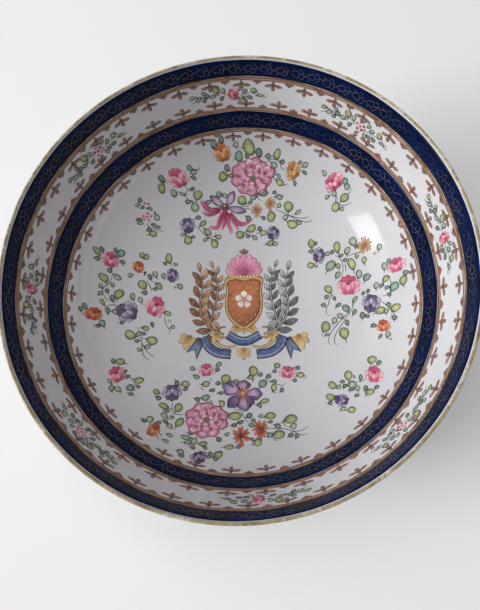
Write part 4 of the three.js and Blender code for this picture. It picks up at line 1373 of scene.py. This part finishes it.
def paint_border_sprigs(wall, finishes):
    for half, places in (("near", (182.5, 225.5, 276.0, 316.5)), ("far", (10.5, 51.5, 91.5, 136.0))):
        paint = Paint(31 if half == "near" else 37)
        for azimuth in places:
            angle = math.radians(azimuth)
            place = wall.strip(angle, SPRIG_DOWN + float(drift(angle)))
            border_sprig(paint, place, "rose" if azimuth in ROSE_SPRIGS else "berries")
        fit(paint.finish(half + "_border_sprigs"), finishes.enamel, "painted_enamels")


# The leaves and stems that an exterior spray has beside a sprig's, round its middle flower.
EXTERIOR_STEMS = [
    [(-30, -6), (-18, 2), (-6, 0)], [(6, 0), (18, -3), (30, 5)], [(0, -6), (4, -15), (12, -20)],
    [(0, 6), (-5, 14), (-13, 19)], [(18, -3), (26, -9)], [(-18, 2), (-25, 9)],
]
EXTERIOR_LEAVES = [
    (-13, 17, 7, 5, 120, "L"), (-6, 13, 5, 3.5, 60, "D"), (12, -17, 7, 5, -60, "L"),
    (5, -13, 5, 3.5, 200, "T"), (27, 7, 6, 4, 40, "G"), (-27, 9, 6, 4, 140, "G"),
]


def paint_exterior(wall, finishes):
    """Four larger sprays and four small sprigs on the outside."""
    for half, start in (("front", 180.0), ("back", 0.0)):
        paint = Paint(41 if half == "front" else 43)
        for k in range(2):
            angle = math.radians(start + 45 + 90 * k)
            place = wall.strip(angle, SPRAY_DOWN, True)
            stems(paint, place, EXTERIOR_STEMS)
            foliage(paint, place, [(x * 1.5, y * 2.4, length * 1.3, width * 1.2, turn, tone)
                                   for x, y, length, width, turn, tone in SPRIG_LEAVES])
            foliage(paint, place, EXTERIOR_LEAVES)
            peony(paint, on(place, 0, 0), 20, 18, PINK)
            violet(paint, on(place, -20, -7), 11, 11, VIOLET)
            rose(paint, on(place, 20, 9), 10, 10, ORANGE)
            daisy(paint, on(place, 15, -10), 8, 8, TAN)
            rose(paint, on(place, -12, 12), 9, 9, ROSE)
            small = wall.strip(math.radians(start + 90 * k), SPRAY_DOWN, True)
            border_sprig(paint, small, "rose")
        fit(paint.finish(half + "_exterior_sprays"), finishes.enamel, "painted_enamels")


# ---- Device in the middle of the well --------------------------------------------------------

UMBER = ((0.88, 0.74, 0.58), (0.62, 0.40, 0.24), (0.22, 0.11, 0.06))
SLATE = ((0.82, 0.82, 0.82), (0.46, 0.46, 0.47), (0.07, 0.07, 0.09))
STRAW = ((0.88, 0.76, 0.54), (0.74, 0.58, 0.34), (0.45, 0.30, 0.15))
SHELL = ((0.93, 0.70, 0.80), (0.84, 0.42, 0.60), (0.55, 0.14, 0.34))
GROUND = ((0.80, 0.50, 0.28), (0.70, 0.38, 0.17), (0.40, 0.18, 0.08))
RIBBON = ((0.52, 0.58, 0.72), (0.30, 0.38, 0.56), (0.06, 0.08, 0.16))
SHADED = (0.20, 0.27, 0.45)


def mirrored(place):
    return lambda points: place(np.asarray(points, float) * (-1, 1))


def laurel(paint, place, spine, palette, reach, pairs):
    """A laurel branch: a thin stalk with pointed leaves in pairs, and one leaf at its tip."""
    path = smooth_path(spine, steps=8)
    t = np.linspace(0, 1, len(path))
    along = np.gradient(path, axis=0)
    pale, middle, deep = palette
    shaded = (middle, blend(middle, deep, 0.5), deep)
    for k, share in enumerate(np.linspace(0.06, 1.0, pairs)):
        x, y = np.interp(share, t, path[:, 0]), np.interp(share, t, path[:, 1])
        turn = math.degrees(math.atan2(np.interp(share, t, along[:, 1]), np.interp(share, t, along[:, 0])))
        size = reach * (1.06 - 0.34 * share) * paint.rng.uniform(0.92, 1.08)
        for side in (1, -1) if share < 1 else (0,):
            tip = polar(size, turn + side * paint.rng.uniform(40, 50))
            tones = palette if side >= 0 else shaded
            petal(paint, place, (x, y), (x + tip[0], y + tip[1]), size * 0.42, tones, 0.1 + 0.012 * k, 1,
                  bend=-0.14 * side, point=0.9, line=0.62, steps=14, fade=0.85)
            rib = np.linspace((x, y), (x + 0.8 * tip[0], y + 0.8 * tip[1]), 4)
            paint.stroke(place, rib, 0.5, deep, 0.17 + 0.012 * k, (0.9, 0.2))
    for wide, tint, lift in ((1.9, deep, 0.24), (0.9, pale, 0.3)):
        paint.stroke(place, path, wide, tint, lift, (0.9, 0.3))


def ribbon(paint, place, knots, width):
    """A plain ribbon along a curve, with a light fold, a shaded fold and drawn edges."""
    path = smooth_path(knots, steps=7)
    along = np.gradient(path, axis=0)
    half = np.stack([-along[:, 1], along[:, 0]], 1) / np.hypot(*along.T)[:, None] * width / 2
    paint.stroke(place, path, width, RIBBON[1], 0.16, (1, 1))
    for share, wide, tint in ((0.5, 0.3, RIBBON[0]), (-0.62, 0.24, SHADED), (0.05, 0.07, RIBBON[2])):
        paint.stroke(place, path + share * half, width * wide, tint, 0.2, (0.8, 0.8))
    for share in (-1, 1):
        paint.stroke(place, path + share * half, 0.7, RIBBON[2], 0.22, (1, 1))
    for k in (0, -1):
        across = np.linspace(path[k] - half[k], path[k] + half[k], 4)
        paint.stroke(place, across, 0.6, RIBBON[2], 0.22, (1, 1))


def ribbon_tail(paint, place, x, y, turn):
    """A hanging end of the ribbon, cut to two points."""
    sheet = on(place, x, y, turn)
    shape = np.array([(-3.0, 0.0), (2.8, 0.0), (5.2, -14.0), (0.8, -9.5), (-3.8, -15.5)])
    paint.patch(sheet, shape, RIBBON[0], RIBBON[1], (0.2, -4.5), 0.13, 3, 1.2, RIBBON[2], 90, 0.8)
    paint.stroke(sheet, np.vstack([shape, shape[:1]]), 0.65, RIBBON[2], 0.2, (1, 1))
    paint.stroke(sheet, [(0, -1), (0.3, -4), (0.6, -8)], 0.5, RIBBON[2], 0.2, (1, 1))


def leaf_knot(paint, place, x, y, turn, size):
    """A tuft of five straw-coloured leaves."""
    sheet = on(place, x, y, turn)
    for angle, share in ((-75, 0.7), (75, 0.7), (-38, 0.9), (38, 0.9), (0, 1.05)):
        tip = polar(size * share, angle)
        petal(paint, sheet, (0, 0), tip, size * 0.42, STRAW, 0.12, 1, point=0.5, line=0.34, steps=12,
              fade=0.7)
    disc(paint, sheet, size * 0.17, STRAW[2], STRAW[1], 0.2, steps=8)


def paint_cartouche(paint, place):
    """The cartouche with its beaded rim, and a five-petalled blossom on it."""
    edge = [(0, -18.5), (6.5, -15), (11.5, -8.5), (13.2, 0), (12.4, 9), (13.4, 18), (7, 20.4), (0, 19),
            (-7, 20.4), (-13.4, 18), (-12.4, 9), (-13.2, 0), (-11.5, -8.5), (-6.5, -15)]
    outline = smooth_path(edge, True, 4)
    paint.patch(place, outline * 1.1, STRAW[0], STRAW[1], (0, 2), 0.1, 3, 2.0)
    paint.patch(place, outline * 0.94 + (0, 0.2), GROUND[0], GROUND[1], (0, 2), 0.16, 4, 1.0, GROUND[2],
                -60, 0.35)
    for scale, wide, ink in ((1.1, 0.55, STRAW[2]), (0.95, 0.5, GROUND[2]), (1.025, 0.4, STRAW[0])):
        loop = outline * scale
        paint.stroke(place, np.vstack([loop, loop[:1]]), wide, ink, 0.22, (1, 1))
    for k in range(24):
        spot = outline[int(k * len(outline) / 24)] * 0.84
        dot(paint, place, *spot, 0.42, STRAW[0], 0.22)
    white = ((0.95, 0.94, 0.93), (0.90, 0.86, 0.86), (0.62, 0.50, 0.50))
    bloom = on(place, 0, 3)
    for angle in (30, 150, 270):
        leaf(paint, on(bloom, *polar(9.2, angle), angle), 6.4, 4, "L")
    ring_of_petals(paint, bloom, 5, 0.5, 8.4, 6.6, white, 90, 0, lift=0.2, veins=2, line=0.34, fade=0.6)
    disc(paint, bloom, 1.5, (0.86, 0.66, 0.28), (0.70, 0.42, 0.16), 0.27, steps=10)


def paint_shell(paint, place):
    """The shell over the cartouche, standing on a beaded bar, with three small leaves over it."""
    for k in range(9):
        angle = 90 + (k - 4) * 19.5
        tip = polar(16.5 - 0.22 * abs(k - 4), angle) * (0.95, 1.0)
        lift = 0.12 + 0.01 * (4 - abs(k - 4))
        petal(paint, on(place, 0, 23.6), tip * 0.12, tip, 6.6, SHELL, lift, 3,
              line=0.42, steps=16, fade=0.75, wave=0.03)
    disc(paint, on(place, 0, 23.6), 3.6, SHELL[2], SHELL[1], 0.22, steps=12)
    bar = smooth_path([(-12, 22.6), (-6, 21.6), (0, 21.3), (6, 21.6), (12, 22.6)], steps=4)
    paint.stroke(place, bar, 3.2, STRAW[1], 0.26, (0.7, 0.7))
    for x in np.linspace(-10.5, 10.5, 9):
        dot(paint, place, x, 21.3 + 0.009 * x * x, 0.75, (0.93, 0.86, 0.70), 0.3)
    for angle in (40, 90, 140):
        tip = polar(4.6, angle)
        petal(paint, on(place, 0, 39.5), (0, 0), tip, 2.4, RUSSET, 0.24, 0, point=0.6, line=0.3, steps=10)


def paint_branches(paint, place):
    """Two laurel branches on each side, warm on one and grey on the other, with tufts at their feet."""
    for sheet, palette in ((place, SLATE), (mirrored(place), UMBER)):
        laurel(paint, sheet, [(15, -24), (25, -20), (32, -11), (34, 1), (32, 14), (34, 25)], palette, 12.5, 9)
        laurel(paint, sheet, [(26, -16), (23, -4), (20.5, 8), (21, 19), (24, 28)], palette, 9.5, 7)
        leaf_knot(paint, sheet, 41, -26, -70, 10.5)
        leaf_knot(paint, sheet, 20, -23, -60, 8.0)
        curl = arc(4.2, -200, 110, (15.5, -22.5), 14)
        paint.stroke(sheet, curl, 1.5, STRAW[1], 0.2, (0.3, 0.9), STRAW[2])
    for x in (-5.5, 0, 5.5):
        leaf_knot(paint, place, x, -18.5, -90 + x * 5, 5.2)


def paint_ribbon(paint, place):
    """A plain ribbon in three swags with two hanging tails, and a scroll link over each side."""
    for sheet in (place, mirrored(place)):
        ribbon_tail(paint, sheet, 32.5, -27.5, 24)
        ribbon(paint, sheet, [(30, -26), (27, -33), (20, -38), (10, -39.5)], 6.8)
        link = smooth_path([(24, -24), (21.5, -30), (14, -34), (6, -33)], steps=5)
        for wide, tint, lift in ((2.4, STRAW[2], 0.17), (1.4, STRAW[0], 0.24)):
            paint.stroke(sheet, link, wide, tint, lift, (0.7, 0.7))
    ribbon(paint, place, [(-12, -24.5), (-5, -28.5), (0, -29.5), (5, -28.5), (12, -24.5)], 6.4)
    leaf_knot(paint, place, 0, -35.5, -90, 8.0)


def paint_device(wall, finishes):
    """A cartouche with a blossom, under a shell, between laurel branches over a plain ribbon."""
    paint = Paint(51)
    paint_cartouche(paint, wall.plan)
    paint_shell(paint, wall.plan)
    paint_branches(paint, wall.plan)
    paint_ribbon(paint, wall.plan)
    fit(paint.finish("centre_device"), finishes.enamel, "painted_enamels")


# ---- Stage -----------------------------------------------------------------------------------


FLOOR_HALF_SIDE = 2.4
CAMERA_PLACE, CAMERA_TURN = (0.0260, -0.0942, 0.4066), (13.46, 4.24, 0.15)
CAMERA_LENS, CAMERA_SENSOR = 30.69, 36.0
WORLD_COLOUR, WORLD_STRENGTH = (1.0, 0.98, 0.97, 1), 0.23


def add_light(name, place, target, power, size, colour=(1, 1, 1), height=None):
    """A rectangular lamp that faces a target."""
    data = bpy.data.lights.new(name, "AREA")
    data.energy, data.color = power, colour
    data.shape = "RECTANGLE"
    data.size, data.size_y = size, height or size
    lamp = bpy.data.objects.new(name, data)
    lamp.location = place
    lamp.rotation_euler = (lamp.location - Vector(target)).to_track_quat("Z", "Y").to_euler()
    bpy.context.scene.collection.objects.link(lamp)
    return lamp


def lay_floor(colours):
    """A sheet of pale paper, a little darker in patches."""
    data = bpy.data.meshes.new("studio_floor")
    corners = [(x * FLOOR_HALF_SIDE, y * FLOOR_HALF_SIDE, 0) for x, y in ((-1, -1), (1, -1), (1, 1), (-1, 1))]
    data.from_pydata(corners, [], [(0, 1, 2, 3)])
    floor = bpy.data.objects.new("studio_floor", data)
    bpy.context.scene.collection.objects.link(floor)
    paper = bpy.data.materials.new("studio_paper")
    paper.use_nodes = True
    tree = paper.node_tree
    shader = tree.nodes["Principled BSDF"]
    shader.inputs["Roughness"].default_value = 0.9
    tone = mix_colour(tree, noise(tree, 3.0, 2.0), (*colours.paper[:3], 1), (0.79, 0.79, 0.80, 1))
    tree.links.new(tone, shader.inputs["Base Color"])
    data.materials.append(paper)


def light_studio():
    """A soft world, a window and a ceiling to light the bowl, and a pane and a wall to shine in its glaze."""
    world = bpy.data.worlds.new("studio_world")
    bpy.context.scene.world = world
    world.use_nodes = True
    background = world.node_tree.nodes["Background"].inputs
    background["Color"].default_value = WORLD_COLOUR
    background["Strength"].default_value = WORLD_STRENGTH
    key = add_light("window_light", (-4.1, -0.5, 1.87), (0.0, 0, 0.03), 140.0, 2.2, (1.0, 0.985, 0.96))
    fill = add_light("ceiling_light", (-0.5, 0.25, 2.9), (0.05, 0, 0), 55.0, 3.0, (1.0, 0.985, 0.97))
    key.visible_glossy = fill.visible_glossy = False
    add_light("pane_light", (-1.75, -0.33, 0.95), (0.09, 0.05, 0.06), 6.5, 0.5, (1, 1, 1), 1.1)
    add_light("wall_light", (-2.6, 0.5, 1.5), (0.0, 0, 0.03), 8.0, 2.6, (0.95, 0.98, 1.0), 1.6)


def set_camera():
    """The camera over the bowl, tipped towards it."""
    scene = bpy.context.scene
    data = bpy.data.cameras.new("camera")
    data.lens = CAMERA_LENS
    data.sensor_width = data.sensor_height = CAMERA_SENSOR
    camera = bpy.data.objects.new("camera", data)
    camera.location = CAMERA_PLACE
    camera.rotation_euler = tuple(math.radians(angle) for angle in CAMERA_TURN)
    scene.collection.objects.link(camera)
    scene.camera = camera
    scene.view_settings.view_transform = "Standard"


# ---- Sizes, colours and buttons --------------------------------------------------------------


def length(name, description, default):
    return bpy.props.FloatProperty(name=name, description=description, default=default * MM, unit="LENGTH",
                                   precision=5, min=0.0)


def tone(name, description, display):
    return bpy.props.FloatVectorProperty(name=name, description=description, subtype="COLOR", size=4,
                                         default=(*linear(display), 1.0), min=0.0, max=1.0)


def band(name, top, bottom):
    return bpy.props.FloatVectorProperty(name=name, description="Distances down the wall to its two edges",
                                         size=2, default=(top * MM, bottom * MM), unit="LENGTH", precision=5)


class BowlSizes(bpy.types.PropertyGroup):
    """The bowl's sizes."""

    rim_radius: bpy.props.FloatProperty(name="Rim radius", description="Outermost radius at the gilt lip",
                                        default=CAD_BOX[1][0], unit="LENGTH", precision=5)
    height: bpy.props.FloatProperty(name="Height", description="Table to the top of the lip",
                                    default=CAD_BOX[1][2], unit="LENGTH", precision=5)
    lip_thickness: length("Lip thickness", "Wall thickness at the half-round lip", 2.0)
    lip_slope: bpy.props.FloatProperty(name="Lip slope",
                                       description="Angle from level at which the wall ends",
                                       default=math.radians(74), subtype="ANGLE")
    gilding: length("Gilding", "Thickness of the gilt lines", 0.15)
    enamel: length("Enamel", "Thickness of the blue bands", 0.25)
    foot_wall: length("Wall at the foot", "Wall thickness at the middle of the well", 6.5)
    well_height: length("Well height", "Table to the middle of the inside", 18.5)
    well_reach: length("Well reach", "How far the level start of the inner curve pulls outwards", 100)
    wall_reach: length("Wall reach", "How far the steep end of the inner curve pulls downwards", 82)
    foot_radius: length("Foot radius", "Outer radius of the foot ring at the table", 70)
    foot_ring_width: length("Foot ring width", "Thickness of the foot ring where it meets the bowl", 6)
    upper_band: band("Upper blue band", 0.9, 13.0)
    lower_band: band("Lower blue band", 40.4, 53.9)
    outer_band: band("Exterior blue band", 6.0, 17.0)
    gilt_line: length("Gilt line", "Width of a gilt line", 1.6)
    russet_line: length("Russet line", "Width of a russet line", 1.2)
    line_gap: length("Line gap", "Bare glaze between two lines", 0.2)


class BowlColours(bpy.types.PropertyGroup):
    """The bowl's colours."""

    glaze: tone("Glaze", "The cool white glaze", (0.815, 0.815, 0.83))
    glaze_pooled: tone("Pooled glaze", "The glaze where it lies thicker", (0.765, 0.77, 0.795))
    clay: tone("Clay", "Bare fired clay on the standing face", (0.82, 0.78, 0.70))
    cobalt: tone("Cobalt", "The blue bands", (0.012, 0.088, 0.25))
    cobalt_thick: tone("Thick cobalt", "The blue where it lies thicker", (0.008, 0.03, 0.115))
    russet: tone("Russet", "The red-brown border colour", (0.47, 0.30, 0.22))
    russet_thin: tone("Thin russet", "The red-brown where it fired thin", (0.62, 0.45, 0.36))
    gilt: tone("Gilding", "Fresh gilding", (0.62, 0.50, 0.33))
    gilt_dark: tone("Dull gilding", "Gilding where it has darkened", (0.40, 0.29, 0.18))
    lip: tone("Lip gilding", "The pale rubbed gilding on the lip", (0.66, 0.60, 0.47))
    lip_dark: tone("Dull lip gilding", "Lip gilding where it has darkened", (0.46, 0.39, 0.28))
    lip_bare: tone("Rubbed lip", "The lip where its gilding is nearly gone", (0.74, 0.71, 0.63))
    scroll: tone("Scroll gilding", "The faded gilt scroll in the blue bands", (0.25, 0.30, 0.40))
    paper: tone("Paper", "The studio floor", (0.885, 0.89, 0.90))


@cache
def workshop():
    """The wall, foot, finishes and sizes, made once and shared by the operators."""
    scene = bpy.context.scene
    wall = Wall(scene.bowl_sizes)
    return SimpleNamespace(wall=wall, foot=Foot(wall, scene.bowl_sizes),
                           finishes=Finishes(scene.bowl_colours),
                           sizes=scene.bowl_sizes)


class BOWL_OT_body(bpy.types.Operator):
    """Turn the glazed bowl"""

    bl_idname = "bowl.body"
    bl_label = "Bowl body"

    def execute(self, context):
        shop = workshop()
        build_bowl(shop.wall, shop.finishes)
        return {"FINISHED"}


class BOWL_OT_foot(bpy.types.Operator):
    """Turn the foot ring and its gilt line"""

    bl_idname = "bowl.foot"
    bl_label = "Foot ring"

    def execute(self, context):
        shop = workshop()
        build_foot(shop.foot, shop.finishes)
        build_foot_line(shop.foot, shop.finishes)
        return {"FINISHED"}


class BOWL_OT_bands(bpy.types.Operator):
    """Lay the blue bands, the gilt lines and the russet lines"""

    bl_idname = "bowl.bands"
    bl_label = "Bands and lines"

    def execute(self, context):
        shop = workshop()
        build_lip_gilding(shop.wall, shop.finishes)
        lay_bands(shop.wall, shop.finishes, shop.sizes)
        return {"FINISHED"}


class BOWL_OT_sprays(bpy.types.Operator):
    """Paint the flower sprays inside the bowl"""

    bl_idname = "bowl.sprays"
    bl_label = "Flower sprays"

    def execute(self, context):
        shop = workshop()
        paint_sprays(shop.wall, shop.finishes)
        return {"FINISHED"}


class BOWL_OT_rings(bpy.types.Operator):
    """Repeat the fleurons and the gilt scrolls round the bowl"""

    bl_idname = "bowl.rings"
    bl_label = "Fleurons and scrolls"

    def execute(self, context):
        shop = workshop()
        paint_rings(shop.wall, shop.finishes, shop.sizes)
        return {"FINISHED"}


class BOWL_OT_border(bpy.types.Operator):
    """Paint the small sprigs in the white border"""

    bl_idname = "bowl.border"
    bl_label = "Border sprigs"

    def execute(self, context):
        shop = workshop()
        paint_border_sprigs(shop.wall, shop.finishes)
        return {"FINISHED"}


class BOWL_OT_device(bpy.types.Operator):
    """Paint the device in the middle of the well"""

    bl_idname = "bowl.device"
    bl_label = "Centre device"

    def execute(self, context):
        shop = workshop()
        paint_device(shop.wall, shop.finishes)
        return {"FINISHED"}


class BOWL_OT_exterior(bpy.types.Operator):
    """Paint the sprays on the outside"""

    bl_idname = "bowl.exterior"
    bl_label = "Exterior sprays"

    def execute(self, context):
        shop = workshop()
        paint_exterior(shop.wall, shop.finishes)
        return {"FINISHED"}


class BOWL_OT_stage(bpy.types.Operator):
    """Set the floor, the lights and the camera"""

    bl_idname = "bowl.stage"
    bl_label = "Stage"

    def execute(self, context):
        lay_floor(context.scene.bowl_colours)
        light_studio()
        set_camera()
        return {"FINISHED"}


class BOWL_PT_panel(bpy.types.Panel):
    """The bowl's buttons, in the order in which they are used"""

    bl_label = "Painted serving bowl"
    bl_idname = "BOWL_PT_panel"
    bl_space_type = "VIEW_3D"
    bl_region_type = "UI"
    bl_category = "Bowl"

    def draw(self, context):
        for operator in OPERATORS:
            self.layout.operator(operator.bl_idname)


OPERATORS = (BOWL_OT_body, BOWL_OT_foot, BOWL_OT_bands, BOWL_OT_rings, BOWL_OT_border, BOWL_OT_sprays,
             BOWL_OT_device, BOWL_OT_exterior, BOWL_OT_stage)
CLASSES = (BowlSizes, BowlColours, *OPERATORS, BOWL_PT_panel)


def register():
    for cls in CLASSES:
        bpy.utils.register_class(cls)
    bpy.types.Scene.bowl_sizes = bpy.props.PointerProperty(type=BowlSizes)
    bpy.types.Scene.bowl_colours = bpy.props.PointerProperty(type=BowlColours)


def unregister():
    del bpy.types.Scene.bowl_colours
    del bpy.types.Scene.bowl_sizes
    for cls in reversed(CLASSES):
        bpy.utils.unregister_class(cls)


def main():
    register()
    for operator in OPERATORS:
        section, name = operator.bl_idname.split(".")
        getattr(getattr(bpy.ops, section), name)()


if __name__ == "__main__":
    main()
